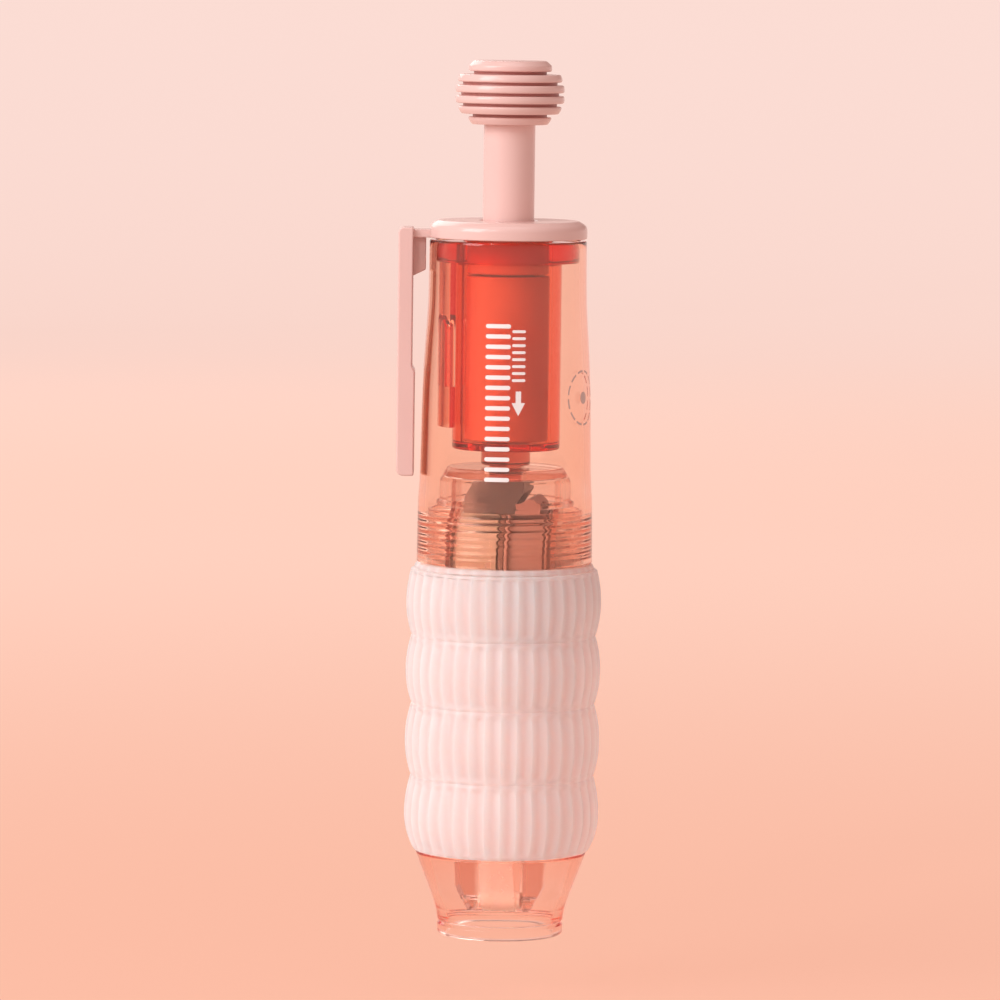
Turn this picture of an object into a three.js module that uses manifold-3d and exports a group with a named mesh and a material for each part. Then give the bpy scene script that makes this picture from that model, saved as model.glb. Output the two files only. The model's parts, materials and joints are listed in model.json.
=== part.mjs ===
// Press-type tape roller pen, as an assembly of separate pieces.
// Millimetres, +Z up. The pen stands on its nose rim with its knob on top, clip towards -X.
// Pressing the knob pushes the whole tape carriage down, so that the head comes out of the nose.
// The reels sit side by side on one cross axle and turn together through a friction clutch.

import * as THREE from 'three';
import { mergeVertices } from 'three/addons/utils/BufferGeometryUtils.js';
import Module from 'manifold-3d';

const wasm = await Module();
wasm.setup();

// ---------- driving dimensions ----------

const GAP = 0.3; // clearance between pieces that touch or slide
const BITE = 0.2; // how far two shapes run into each other where they become one piece

const LARGE_FACETS = 32; // facets round the shells
const SMALL_FACETS = 24; // facets round the reels, rods and sleeves
const PIN_FACETS = 12; // facets round pins and their holes

// The clip stands out on one side, so the pen's axis is moved to centre the whole pen over the origin.
const CLIP_OUTER = 16.2;
const GRIP_BULGE_R = 14.55;
const AXIS_X = (CLIP_OUTER - GRIP_BULGE_R) / 2;
const CARRIAGE_TURN = THREE.MathUtils.degToRad(-9.5); // the carriage sits slightly turned in the barrel

// Barrel, from its open lower end to the end cap, as [outer radius, height].
const BARREL_WALL = 1.0;
const BARREL_BOTTOM = 55.7;
const BARREL_TOP = 103.5;
const BARREL_OUTLINE = [
  [13.05, BARREL_BOTTOM], [12.95, 64], [12.7, 69], [12.5, 80], [12.2, 87], [11.75, 94.5],
  [11.65, BARREL_TOP],
];

// End cap with the boss that holds the cam housing down and guides the push rod.
const CAP_R = 11.7;
const CAP_BOTTOM = BARREL_TOP + GAP;
const CAP_TOP = 106.4;
const CAP_EDGE = 1.3;
const BOSS_R = 6.1;
const BOSS_BOTTOM = 98.6;

// Pocket clip.
const CLIP_THICKNESS = 2.2;
const CLIP_PAD_THICKNESS = 2.6;
const CLIP_HALF_WIDTH = 3;
const CLIP_BEVEL = 0.8;
const CLIP_BOTTOM = 68.5;
const CLIP_PAD_TOP = 84.4;
const CLIP_TOP = 105.3;
const TONGUE_HALF_WIDTH = 2;
const TONGUE_TOP = 105.0;
const TONGUE_END = 9.7;
const GUSSET_HALF_WIDTH = 0.8;
const GUSSET_BOTTOM = 97.9;
const GUSSET_INNER = 12.15;

// Push rod and knob.
const ROD_R = 3.85;
const ROD_COLLAR_R = 5.0;
const ROD_COLLAR_BOTTOM = 95.4;
const SPIGOT_R = 2.7;
const SPIGOT_TOP = 125.6;
const KNOB_BOTTOM = 120.6;
const KNOB_TOP = 130;
const KNOB_RING_RADII = [6.2, 7.6, 8.0, 7.95, 7.5, 5.9];
const KNOB_GROOVE = 0.4;
const KNOB_GROOVE_DEPTH = 0.85;
const KNOB_SOFT_EDGE = 0.35;
const CROWN_TEETH = 4;
const CROWN_NOTCH = 1.1;

// Plunger guide, the cam housing in it, and what works inside the housing.
const GUIDE_R = 8.0;
const GUIDE_BORE = 6.5;
const GUIDE_BOTTOM = 72.6;
const GUIDE_FLOOR = 1.0;
const GUIDE_TOP = 103.3;
const FLANGE_R = 10.35;
const FLANGE_BOTTOM = 99.5;
const PANEL_OUTER_R = 10.2;
const PANEL_INNER_R = 9.3;
const PANEL_BOTTOM = 76;
const PANEL_HALF_ANGLE = THREE.MathUtils.degToRad(37);
const SNAP_HALF_WIDTH = 1.7;
const SNAP_SLOT = 0.6;
const SNAP_BOTTOM = 82;
const SNAP_TOP = 92.6;
const SNAP_TURN = THREE.MathUtils.degToRad(20); // the snap tongue sits towards the pen's front
const HOUSING_R = 6.2;
const HOUSING_BORE = 5.3;
const HOUSING_BOTTOM = 73.9;
const HOUSING_FLOOR = 1.0;
const SPRING_R = 3.7;
const SPRING_WIRE_R = 0.3;
const SPRING_TURNS = 7.5;
const ROTOR_R = 4.6;
const ROTOR_BORE = 2.5;
const ROTOR_RIB_R = 5.0;

// Carriage: stem, cap, saddle, frame and cover.
const STEM_R = 3.65;
const STEM_SHAFT_R = 2.4;
const STEM_SEAT_R = 4.6;
const STEM_SEAT_BOTTOM = 91.7;
const STEM_SEAT_TOP = 92.5;
const STEM_TIP_R = 2.2;
const STEM_TIP = 94.9;
const STEM_SHOULDER = 70.2;
const STEM_BOTTOM = 66.4;
const LID_R = 8.6;
const LID_TOP = 69.9;
const LID_BOTTOM = 68.4;
const SKIRT_R = 9.75;
const SKIRT_BORE = 8.75;
const SKIRT_TOP = 67.9;
const SKIRT_BOTTOM = 64.2;
const FOOT_R = 10.2;
const FOOT_TOP = 65.1;
const SADDLE_LEFT = -5.8;
const SADDLE_RIGHT = 3.6;
const SADDLE_BEVEL = 1.2;
const SADDLE_HALF_DEPTH = 5;
const SADDLE_TOP = 68.1;
const LUG_RIGHT = 6; // the low lug beside the saddle, over the take-up reel
const LUG_TOP = 65.8;

// Reels on the cross axle. Places along the axle are X, in the carriage's own frame.
const REEL_Z = 56.2;
const REEL_R = 8.3;
const TAPE_WIDTH = 5;
const TAPE_ROLL_R = 7.0; // smaller than the liner's roll, so that the friction clutch keeps the tape tight
const SUPPLY_HUB_R = 3.2;
const SUPPLY_LEFT = -6.55;
const SUPPLY_RIGHT = 0;
const SUPPLY_FLANGE = 0.5;
const DISC_LEFT = 0.3;
const DISC_RIGHT = 1.4;
const DISC_TEETH = 36;
const DISC_TOOTH_HEIGHT = 0.5;
const TAKE_UP_LEFT = 1.7;
const TAKE_UP_RIGHT = 7.3;
const TAKE_UP_FLANGE = 0.3;
const TAKE_UP_HUB_R = 6.8;
const TAKE_UP_FLANGE_R = 7.6;
const LINER_ROLL_R = 7.45;
const CLUTCH_POCKET_R = 3.4;
const CLUTCH_POCKET_LEFT = 4.2;
const CLUTCH_SPRING_R = 2.45;
const CLUTCH_WIRE_R = 0.25;
const CLUTCH_TURNS = 3.5;
const AXLE_R = 1.2;
const AXLE_HEAD_R = 2.0;
const AXLE_HEAD_LENGTH = 0.6;
const CHEEK_LEFT = -7.7;
const CHEEK_RIGHT = 8.3;
const CHEEK_LEFT_THICKNESS = 0.8;
const CHEEK_RIGHT_THICKNESS = 0.7;
const CHEEK_Y = 6;
const CHEEK_TAB_Y = 2.4;

// Tape head at the nose.
const HEAD_Z = 5.3;
const ROLLER_R = 1.5;
const ROLLER_HALF_LENGTH = 3.2;
const ROLLER_PIN_R = 0.5;
const FORK_INNER = 3.6;
const FORK_OUTER = 4.8;
const FORK_BOTTOM = 3.6;
const PRONG_OUTER = 6.6;
const PRONG_TOP = 16;
const PRONG_Y = 1.9;
const RAIL_Y = 1.6;
const CROSS_RIBS = [24, 38]; // heights of the ribs between the rails
const CROSS_RIB = 1.2;
const YOKE_TOP = 46.9;
const YOKE_BOTTOM = 45.4;
const YOKE_Y = 3.2;
const EARS = [[-7, -6.2], [6.6, 7.4]]; // the two plates that hold the guide pins, as ranges of X
const EAR_Y = 6.2;
const EAR_BELOW_PIN = 1.3;
const GUIDE_PIN_R = 0.6;
const GUIDE_PIN_Y = 4.75;
const GUIDE_PIN_Z = 43.9;
const TAPE_THICKNESS = 0.2;

// Lower body, washer and grip, as [outer radius, height] and [inner radius, height].
const NOSE_MOUTH_R = 8.0;
const NOSE_RIM_HEIGHT = 2.2;
const NOSE_OUTLINE = [
  [9.35, 0], [9.35, NOSE_RIM_HEIGHT], [9.65, 4], [10.45, 6.3], [11.6, 9.3], [12.7, 12.3],
];
const NOSE_BORE = [[9.2, 6.3], [8.4, 4], [NOSE_MOUTH_R, NOSE_RIM_HEIGHT]];
const TUBE_R = 12.0;
const TUBE_BORE = 10.85;
const TUBE_BORE_BOTTOM = 10.6;
const TUBE_TOP = 54.6;
const NECK_R = 11.45;
const NECK_TOP = 63.7;
const THREAD_DEPTH = 0.35;
const THREAD_PITCH = 1.06;
const THREAD_BOTTOM = 56.4;
const THREAD_TURNS = 6.5;
const THREAD_ROWS = 4; // rows of points in each turn
const WASHER_R = 13.05;
const WASHER_THICKNESS = 0.5;
const GRIP_BOTTOM = 12.6;
const GRIP_PINCHES = [ // the grip's two ends and the pinches between its bulges
  [12.9, GRIP_BOTTOM], [13.55, 23.8], [13.55, 34.6], [13.6, 44.8], [13.8, TUBE_TOP],
];
const GRIP_BORE = TUBE_R + GAP;

// ---------- shapes ----------

const shapeOf = (points) => new THREE.Shape(points.map(([across, up]) => new THREE.Vector2(across, up)));

// A turned piece about Z. The outline is [radius, height] points, out along the bottom and up the outside.
function turned(outline, facets) {
  const points = outline.map(([radius, height]) => new THREE.Vector2(radius, height));
  return new THREE.LatheGeometry(points, facets).rotateX(Math.PI / 2);
}

// A turned ring or tube: the same, for an outline that closes on itself.
const turnedRing = (outline, facets) => turned([...outline, outline[0]], facets);

// A plain turned ring between two radii and two heights.
function plainRing([inner, outer], [low, high], facets) {
  return turnedRing([[inner, low], [outer, low], [outer, high], [inner, high]], facets);
}

// A turned ring about the reel axle, whose outline is [radius, x] points.
function turnedOnAxle(outline, facets) {
  const points = [...outline, outline[0]].map(([radius, x]) => new THREE.Vector2(radius, x));
  return new THREE.LatheGeometry(points, facets).rotateZ(-Math.PI / 2).translate(0, 0, REEL_Z);
}

// A plain ring about the reel axle, between two radii and two places along it.
function ringOnAxle([inner, outer], [left, right]) {
  return turnedOnAxle([[inner, left], [outer, left], [outer, right], [inner, right]], SMALL_FACETS);
}

// A box between two places on each axis.
function block([x0, x1], [y0, y1], [z0, z1]) {
  const box = new THREE.BoxGeometry(x1 - x0, y1 - y0, z1 - z0);
  return box.translate((x0 + x1) / 2, (y0 + y1) / 2, (z0 + z1) / 2);
}

// A plate with its outline in X and Z, from y0 to y1.
function frontPlate(outline, [y0, y1]) {
  const plate = new THREE.ExtrudeGeometry(shapeOf(outline), { depth: y1 - y0, bevelEnabled: false });
  return plate.rotateX(Math.PI / 2).translate(0, y1, 0);
}

// A plate with its outline in Y and Z, from x0 to x1.
function sidePlate(outline, [x0, x1]) {
  const plate = new THREE.ExtrudeGeometry(shapeOf(outline), { depth: x1 - x0, bevelEnabled: false });
  const turn = new THREE.Matrix4().makeBasis(
    new THREE.Vector3(0, 1, 0), new THREE.Vector3(0, 0, 1), new THREE.Vector3(1, 0, 0),
  );
  return plate.applyMatrix4(turn).translate(x0, 0, 0);
}

// A round pin along X.
function crossPin(radius, [x0, x1], y, z) {
  const pin = new THREE.CylinderGeometry(radius, radius, x1 - x0, PIN_FACETS);
  return pin.rotateZ(Math.PI / 2).translate((x0 + x1) / 2, y, z);
}

// An upright cylinder.
function post(radius, [z0, z1], facets) {
  const cylinder = new THREE.CylinderGeometry(radius, radius, z1 - z0, facets);
  return cylinder.rotateX(Math.PI / 2).translate(0, 0, (z0 + z1) / 2);
}

class Helix extends THREE.Curve {
  constructor(radius, length, turns) {
    super();
    Object.assign(this, { radius, length, turns });
  }

  getPoint(t, target = new THREE.Vector3()) {
    const angle = 2 * Math.PI * this.turns * t;
    return target.set(this.radius * Math.cos(angle), this.radius * Math.sin(angle), this.length * t);
  }
}

// A wire wound about Z, with its lower end at height z0 and its upper end at z1.
function coil({ radius, wire, turns, stepsPerTurn }, [z0, z1]) {
  const section = new THREE.Shape().absarc(0, 0, wire, 0, 2 * Math.PI);
  const length = z1 - z0 - 2 * wire;
  const options = {
    extrudePath: new Helix(radius, length, turns),
    steps: Math.round(turns * stepsPerTurn),
    curveSegments: 2,
    bevelEnabled: false,
  };
  return new THREE.ExtrudeGeometry(section, options).translate(0, 0, z0 + wire);
}

// ---------- joins and cuts ----------

function solidOf(geometry) {
  const bare = geometry.clone();
  bare.deleteAttribute('normal');
  bare.deleteAttribute('uv');
  const merged = mergeVertices(bare);
  const index = merged.index.array;
  const triVerts = [];
  for (let i = 0; i < index.length; i += 3) {
    const [a, b, c] = [index[i], index[i + 1], index[i + 2]];
    if (a !== b && b !== c && c !== a) triVerts.push(a, b, c);
  }
  const vertProperties = Float32Array.from(merged.attributes.position.array);
  const mesh = new wasm.Mesh({ numProp: 3, vertProperties, triVerts: Uint32Array.from(triVerts) });
  return new wasm.Manifold(mesh);
}

function geometryOf(solid) {
  const mesh = solid.getMesh();
  const geometry = new THREE.BufferGeometry();
  geometry.setAttribute('position', new THREE.BufferAttribute(Float32Array.from(mesh.vertProperties), 3));
  geometry.setIndex(Array.from(mesh.triVerts));
  geometry.computeVertexNormals();
  return geometry;
}

const joined = (...shapes) => geometryOf(shapes.map(solidOf).reduce((sum, shape) => sum.add(shape)));

function cut(shape, ...tools) {
  return geometryOf(tools.map(solidOf).reduce((rest, tool) => rest.subtract(tool), solidOf(shape)));
}

// ---------- materials ----------

const plastic = (color, roughness) => new THREE.MeshStandardMaterial({ color, roughness, metalness: 0 });
const metal = (color, roughness) => new THREE.MeshStandardMaterial({ color, roughness, metalness: 1 });

function clear(color, opacity) {
  return new THREE.MeshStandardMaterial({ color, roughness: 0.08, opacity, transparent: true });
}

const finish = {
  pink: plastic('#f6c3b6', 0.4),
  clearCoral: clear('#f0987c', 0.4),
  deepCoral: clear('#dd5a3e', 0.7),
  clearRose: clear('#eeb1a2', 0.5),
  silicone: plastic('#f5e2dc', 0.6),
  darkPlastic: plastic('#5b4a45', 0.55),
  coralPlastic: plastic('#cf7458', 0.45),
  kraftTape: plastic('#e2b482', 0.7),
  linerPaper: plastic('#ead9bf', 0.8),
  rubber: plastic('#8f8580', 0.85),
  steel: metal('#b9bcc0', 0.3),
};

// ---------- outside ----------

function barrel() {
  const inside = BARREL_OUTLINE.map(([radius, height]) => [radius - BARREL_WALL, height]).reverse();
  return turnedRing([...BARREL_OUTLINE, ...inside], LARGE_FACETS);
}

function endCap() {
  const bore = ROD_R + GAP;
  const disc = turnedRing([
    [bore, BOSS_BOTTOM], [BOSS_R, BOSS_BOTTOM], [BOSS_R, CAP_BOTTOM], [CAP_R, CAP_BOTTOM],
    [CAP_R, CAP_TOP - CAP_EDGE], [CAP_R - CAP_EDGE / 3, CAP_TOP - CAP_EDGE / 3],
    [CAP_R - CAP_EDGE, CAP_TOP], [bore, CAP_TOP],
  ], LARGE_FACETS);
  const halfSlot = TONGUE_HALF_WIDTH + GAP;
  const across = [-CLIP_OUTER, GAP - TONGUE_END];
  return cut(disc, block(across, [-halfSlot, halfSlot], [BARREL_TOP, TONGUE_TOP + GAP]));
}

function pocketClip() {
  const barInner = CLIP_THICKNESS - CLIP_OUTER;
  const padInner = CLIP_PAD_THICKNESS - CLIP_OUTER;
  const bar = frontPlate([
    [-CLIP_OUTER, CLIP_BOTTOM + CLIP_BEVEL], [CLIP_BEVEL - CLIP_OUTER, CLIP_BOTTOM],
    [padInner - BITE, CLIP_BOTTOM],
    [padInner, CLIP_BOTTOM + BITE], [padInner, CLIP_PAD_TOP - BITE], [barInner, CLIP_PAD_TOP],
    [barInner, CLIP_TOP], [-CLIP_OUTER, CLIP_TOP],
  ], [-CLIP_HALF_WIDTH, CLIP_HALF_WIDTH]);
  const tongue = block(
    [barInner - BITE, -TONGUE_END], [-TONGUE_HALF_WIDTH, TONGUE_HALF_WIDTH], [CAP_BOTTOM, TONGUE_TOP],
  );
  const gusset = frontPlate([
    [barInner - BITE, GUSSET_BOTTOM], [-GUSSET_INNER, GUSSET_BOTTOM + CLIP_THICKNESS / 2],
    [-GUSSET_INNER, CAP_BOTTOM + BITE], [barInner - BITE, CAP_BOTTOM + BITE],
  ], [-GUSSET_HALF_WIDTH, GUSSET_HALF_WIDTH]);
  return joined(bar, tongue, gusset);
}

function pressKnob() {
  const pitch = (KNOB_TOP - KNOB_BOTTOM) / KNOB_RING_RADII.length;
  const socketR = SPIGOT_R + GAP;
  const outline = [[0, SPIGOT_TOP + GAP], [socketR, SPIGOT_TOP + GAP], [socketR, KNOB_BOTTOM]];
  KNOB_RING_RADII.forEach((radius, ring) => {
    const low = KNOB_BOTTOM + ring * pitch;
    const last = ring === KNOB_RING_RADII.length - 1;
    const high = last ? KNOB_TOP : low + pitch - KNOB_GROOVE;
    const edge = radius - KNOB_SOFT_EDGE;
    outline.push([edge, low], [radius, (low + high) / 2], [edge, high]);
    if (!last) {
      const grooveR = Math.min(radius, KNOB_RING_RADII[ring + 1]) - KNOB_GROOVE_DEPTH;
      outline.push([grooveR, high], [grooveR, low + pitch]);
    }
  });
  outline.push([0, KNOB_TOP]);
  return turned(outline, SMALL_FACETS);
}

// Radial notches, which leave a ring of teeth on a face at height z.
function crownNotches(z) {
  const notches = [];
  for (let tooth = 0; tooth < CROWN_TEETH; tooth += 1) {
    const half = CROWN_NOTCH / 2;
    const notch = block([-ROD_COLLAR_R - 1, ROD_COLLAR_R + 1], [-half, half], [z - half, z + half]);
    notches.push(notch.rotateZ((tooth * Math.PI) / CROWN_TEETH));
  }
  return notches;
}

function pushRod() {
  const collarTop = BOSS_BOTTOM - GAP;
  const rodTop = KNOB_BOTTOM - GAP;
  const rod = turned([
    [0, ROD_COLLAR_BOTTOM], [ROD_COLLAR_R, ROD_COLLAR_BOTTOM], [ROD_COLLAR_R, collarTop],
    [ROD_R, collarTop], [ROD_R, rodTop], [SPIGOT_R, rodTop], [SPIGOT_R, SPIGOT_TOP], [0, SPIGOT_TOP],
  ], SMALL_FACETS);
  return cut(rod, ...crownNotches(ROD_COLLAR_BOTTOM));
}

// ---------- click mechanism ----------

function guidePanel() {
  const middle = Math.PI;
  const arc = new THREE.Shape();
  arc.absarc(0, 0, PANEL_OUTER_R, middle - PANEL_HALF_ANGLE, middle + PANEL_HALF_ANGLE, false);
  arc.absarc(0, 0, PANEL_INNER_R, middle + PANEL_HALF_ANGLE, middle - PANEL_HALF_ANGLE, true);
  const depth = FLANGE_BOTTOM + BITE - PANEL_BOTTOM;
  const options = { depth, curveSegments: 4, bevelEnabled: false };
  return new THREE.ExtrudeGeometry(arc, options).translate(0, 0, PANEL_BOTTOM);
}

// The slot round the snap tongue: two legs joined over the tongue's free upper end.
function snapSlot() {
  const across = [-PANEL_OUTER_R - 1, -PANEL_INNER_R + 2];
  const outer = SNAP_HALF_WIDTH + SNAP_SLOT;
  return [
    block(across, [-outer, -SNAP_HALF_WIDTH], [SNAP_BOTTOM, SNAP_TOP]),
    block(across, [SNAP_HALF_WIDTH, outer], [SNAP_BOTTOM, SNAP_TOP]),
    block(across, [-outer, outer], [SNAP_TOP - SNAP_SLOT, SNAP_TOP]),
  ].map((leg) => leg.rotateZ(SNAP_TURN));
}

function plungerGuide() {
  const stemHole = STEM_R + GAP;
  const floorTop = GUIDE_BOTTOM + GUIDE_FLOOR;
  const sleeve = turnedRing([
    [stemHole, GUIDE_BOTTOM], [GUIDE_R, GUIDE_BOTTOM], [GUIDE_R, FLANGE_BOTTOM], [FLANGE_R, FLANGE_BOTTOM],
    [FLANGE_R, GUIDE_TOP], [GUIDE_BORE, GUIDE_TOP], [GUIDE_BORE, floorTop], [stemHole, floorTop],
  ], SMALL_FACETS);
  return joined(sleeve, cut(guidePanel(), ...snapSlot()));
}

function camHousing() {
  const hole = STEM_SHAFT_R + GAP;
  const top = BOSS_BOTTOM - GAP;
  const floorTop = HOUSING_BOTTOM + HOUSING_FLOOR;
  return turnedRing([
    [hole, HOUSING_BOTTOM], [HOUSING_R, HOUSING_BOTTOM], [HOUSING_R, top], [HOUSING_BORE, top],
    [HOUSING_BORE, floorTop], [hole, floorTop],
  ], SMALL_FACETS);
}

function returnSpring() {
  const bottom = HOUSING_BOTTOM + HOUSING_FLOOR + GAP;
  const wound = { radius: SPRING_R, wire: SPRING_WIRE_R, turns: SPRING_TURNS, stepsPerTurn: 12 };
  return coil(wound, [bottom, STEM_SEAT_BOTTOM - GAP]);
}

function clickRotor() {
  const bottom = STEM_SEAT_TOP + GAP;
  const top = ROD_COLLAR_BOTTOM - GAP;
  const ring = plainRing([ROTOR_BORE, ROTOR_R], [bottom, top], SMALL_FACETS);
  const across = [ROTOR_R - 2 * BITE, ROTOR_RIB_R];
  const ribs = [];
  for (let rib = 0; rib < CROWN_TEETH; rib += 1) {
    const bar = block(across, [-CROWN_NOTCH / 2, CROWN_NOTCH / 2], [bottom, top]);
    ribs.push(bar.rotateZ(((rib + 0.25) * 2 * Math.PI) / CROWN_TEETH));
  }
  return cut(joined(ring, ...ribs), ...crownNotches(top));
}

// ---------- tape carriage ----------

function carriageStem() {
  const wideTop = HOUSING_BOTTOM - GAP;
  return turned([
    [0, STEM_BOTTOM], [STEM_SHAFT_R, STEM_BOTTOM], [STEM_SHAFT_R, STEM_SHOULDER], [STEM_R, STEM_SHOULDER],
    [STEM_R, wideTop], [STEM_SHAFT_R, wideTop], [STEM_SHAFT_R, STEM_SEAT_BOTTOM],
    [STEM_SEAT_R, STEM_SEAT_BOTTOM], [STEM_SEAT_R, STEM_SEAT_TOP], [STEM_TIP_R, STEM_SEAT_TOP],
    [STEM_TIP_R, STEM_TIP], [0, STEM_TIP],
  ], SMALL_FACETS);
}

function carriageCap() {
  const hole = STEM_SHAFT_R + GAP;
  return turnedRing([
    [SKIRT_BORE, SKIRT_BOTTOM], [FOOT_R, SKIRT_BOTTOM], [FOOT_R, FOOT_TOP - GAP], [SKIRT_R, FOOT_TOP],
    [SKIRT_R, SKIRT_TOP], [LID_R, LID_TOP], [hole, LID_TOP], [hole, LID_BOTTOM], [SKIRT_BORE, LID_BOTTOM],
  ], SMALL_FACETS);
}

function reelSaddle() {
  const body = frontPlate([
    [SADDLE_LEFT, REEL_Z], [LUG_RIGHT, REEL_Z], [LUG_RIGHT, LUG_TOP - SADDLE_BEVEL],
    [LUG_RIGHT - SADDLE_BEVEL, LUG_TOP], [SADDLE_RIGHT, LUG_TOP], [SADDLE_RIGHT, SADDLE_TOP - SADDLE_BEVEL],
    [SADDLE_RIGHT - SADDLE_BEVEL, SADDLE_TOP], [SADDLE_LEFT + SADDLE_BEVEL, SADDLE_TOP],
    [SADDLE_LEFT, SADDLE_TOP - 2 * SADDLE_BEVEL],
  ], [-SADDLE_HALF_DEPTH, SADDLE_HALF_DEPTH]);
  const reels = new THREE.CylinderGeometry(REEL_R + GAP, REEL_R + GAP, 2 * REEL_R, LARGE_FACETS);
  const socket = post(STEM_SHAFT_R + GAP, [STEM_BOTTOM - GAP, SADDLE_TOP + 1], SMALL_FACETS);
  return cut(body, reels.rotateZ(Math.PI / 2).translate(0, 0, REEL_Z), socket);
}

// The outline of a cheek as [y, z]. One half runs from the top tab down to the yoke; the other mirrors it.
function cheekOutline(bottom) {
  const half = [
    [CHEEK_TAB_Y, SKIRT_TOP], [CHEEK_TAB_Y, SKIRT_BOTTOM - GAP], [CHEEK_Y, REEL_Z + CHEEK_Y - 1],
    [CHEEK_Y, REEL_Z - CHEEK_Y + 1], [YOKE_Y, YOKE_TOP + GAP], [YOKE_Y, bottom],
  ];
  return [...half, ...half.map(([y, z]) => [-y, z]).reverse()];
}

function forkProng(side) {
  const outline = [
    [FORK_INNER, FORK_BOTTOM], [FORK_OUTER - BITE, FORK_BOTTOM], [PRONG_OUTER - BITE, 7.5],
    [PRONG_OUTER, 11], [FORK_OUTER, PRONG_TOP], [FORK_INNER, PRONG_TOP],
  ];
  return frontPlate(outline.map(([x, z]) => [side * x, z]), [-PRONG_Y, PRONG_Y]);
}

function carriageFrame() {
  const cheek = sidePlate(cheekOutline(YOKE_BOTTOM), [CHEEK_LEFT, CHEEK_LEFT + CHEEK_LEFT_THICKNESS]);
  const yoke = block([CHEEK_LEFT + BITE, CHEEK_RIGHT], [-YOKE_Y, YOKE_Y], [YOKE_BOTTOM, YOKE_TOP]);
  const parts = [cheek, yoke];
  for (const side of [-1, 1]) {
    const rail = side > 0 ? [FORK_INNER, FORK_OUTER] : [-FORK_OUTER, -FORK_INNER];
    parts.push(block(rail, [-RAIL_Y, RAIL_Y], [PRONG_TOP - BITE, YOKE_BOTTOM + BITE]), forkProng(side));
  }
  for (const ear of EARS) {
    parts.push(block(ear, [-EAR_Y, EAR_Y], [GUIDE_PIN_Z - EAR_BELOW_PIN, YOKE_TOP]));
  }
  for (const height of CROSS_RIBS) {
    const across = [-FORK_INNER - BITE, FORK_INNER + BITE];
    parts.push(block(across, [-CROSS_RIB / 2, CROSS_RIB / 2], [height, height + CROSS_RIB]));
  }
  const through = [CHEEK_LEFT - 1, CHEEK_RIGHT + 1];
  const holes = [
    crossPin(AXLE_R + GAP, through, 0, REEL_Z),
    crossPin(ROLLER_PIN_R + GAP, through, 0, HEAD_Z),
    crossPin(GUIDE_PIN_R + GAP, through, GUIDE_PIN_Y, GUIDE_PIN_Z),
    crossPin(GUIDE_PIN_R + GAP, through, -GUIDE_PIN_Y, GUIDE_PIN_Z),
  ];
  return cut(joined(...parts), ...holes);
}

function carriageCover() {
  const inner = CHEEK_RIGHT - CHEEK_RIGHT_THICKNESS;
  const plate = sidePlate(cheekOutline(YOKE_TOP + GAP), [inner, CHEEK_RIGHT]);
  return cut(plate, crossPin(AXLE_R + GAP, [inner - 1, CHEEK_RIGHT + 1], 0, REEL_Z));
}

// ---------- reels ----------

function supplySpool() {
  const bore = AXLE_R + GAP;
  const [low, high] = [SUPPLY_LEFT + SUPPLY_FLANGE, SUPPLY_RIGHT - SUPPLY_FLANGE + GAP / 3];
  return turnedOnAxle([
    [bore, SUPPLY_LEFT], [REEL_R, SUPPLY_LEFT], [REEL_R, low], [SUPPLY_HUB_R, low],
    [SUPPLY_HUB_R, high], [REEL_R, high], [REEL_R, SUPPLY_RIGHT], [bore, SUPPLY_RIGHT],
  ], SMALL_FACETS);
}

function tapeRoll() {
  const left = SUPPLY_LEFT + SUPPLY_FLANGE + GAP;
  const [inner, right] = [SUPPLY_HUB_R + GAP, left + TAPE_WIDTH];
  return ringOnAxle([inner, TAPE_ROLL_R], [left, right]);
}

function ratchetDisc() {
  const outline = [];
  for (let tooth = 0; tooth < DISC_TEETH; tooth += 1) {
    for (const [step, radius] of [[0, REEL_R], [0.15, REEL_R - DISC_TOOTH_HEIGHT]]) {
      const angle = ((tooth + step) * 2 * Math.PI) / DISC_TEETH;
      outline.push([radius * Math.cos(angle), REEL_Z + radius * Math.sin(angle)]);
    }
  }
  const disc = sidePlate(outline, [DISC_LEFT, DISC_RIGHT]);
  return cut(disc, crossPin(AXLE_R + GAP, [DISC_LEFT - 1, DISC_RIGHT + 1], 0, REEL_Z));
}

function takeUpSpool() {
  const bore = AXLE_R + GAP;
  const flangeLeft = TAKE_UP_RIGHT - TAKE_UP_FLANGE;
  return turnedOnAxle([
    [bore, TAKE_UP_LEFT], [TAKE_UP_HUB_R, TAKE_UP_LEFT], [TAKE_UP_HUB_R, flangeLeft],
    [TAKE_UP_FLANGE_R, flangeLeft], [TAKE_UP_FLANGE_R, TAKE_UP_RIGHT], [CLUTCH_POCKET_R, TAKE_UP_RIGHT],
    [CLUTCH_POCKET_R, CLUTCH_POCKET_LEFT], [bore, CLUTCH_POCKET_LEFT],
  ], SMALL_FACETS);
}

function linerRoll() {
  const right = TAKE_UP_RIGHT - TAKE_UP_FLANGE - GAP;
  const [inner, left] = [TAKE_UP_HUB_R + GAP, right - TAPE_WIDTH];
  return ringOnAxle([inner, LINER_ROLL_R], [left, right]);
}

function clutchSpring() {
  const wound = { radius: CLUTCH_SPRING_R, wire: CLUTCH_WIRE_R, turns: CLUTCH_TURNS, stepsPerTurn: 10 };
  const upright = coil(wound, [CLUTCH_POCKET_LEFT + GAP, TAKE_UP_RIGHT]);
  return upright.rotateY(Math.PI / 2).translate(0, 0, REEL_Z);
}

function reelAxle() {
  const headRight = CHEEK_LEFT - GAP;
  const head = crossPin(AXLE_HEAD_R, [headRight - AXLE_HEAD_LENGTH, headRight], 0, REEL_Z);
  return joined(head, crossPin(AXLE_R, [headRight - BITE, CHEEK_RIGHT - BITE], 0, REEL_Z));
}

// ---------- tape head and the two runs of tape ----------

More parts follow.
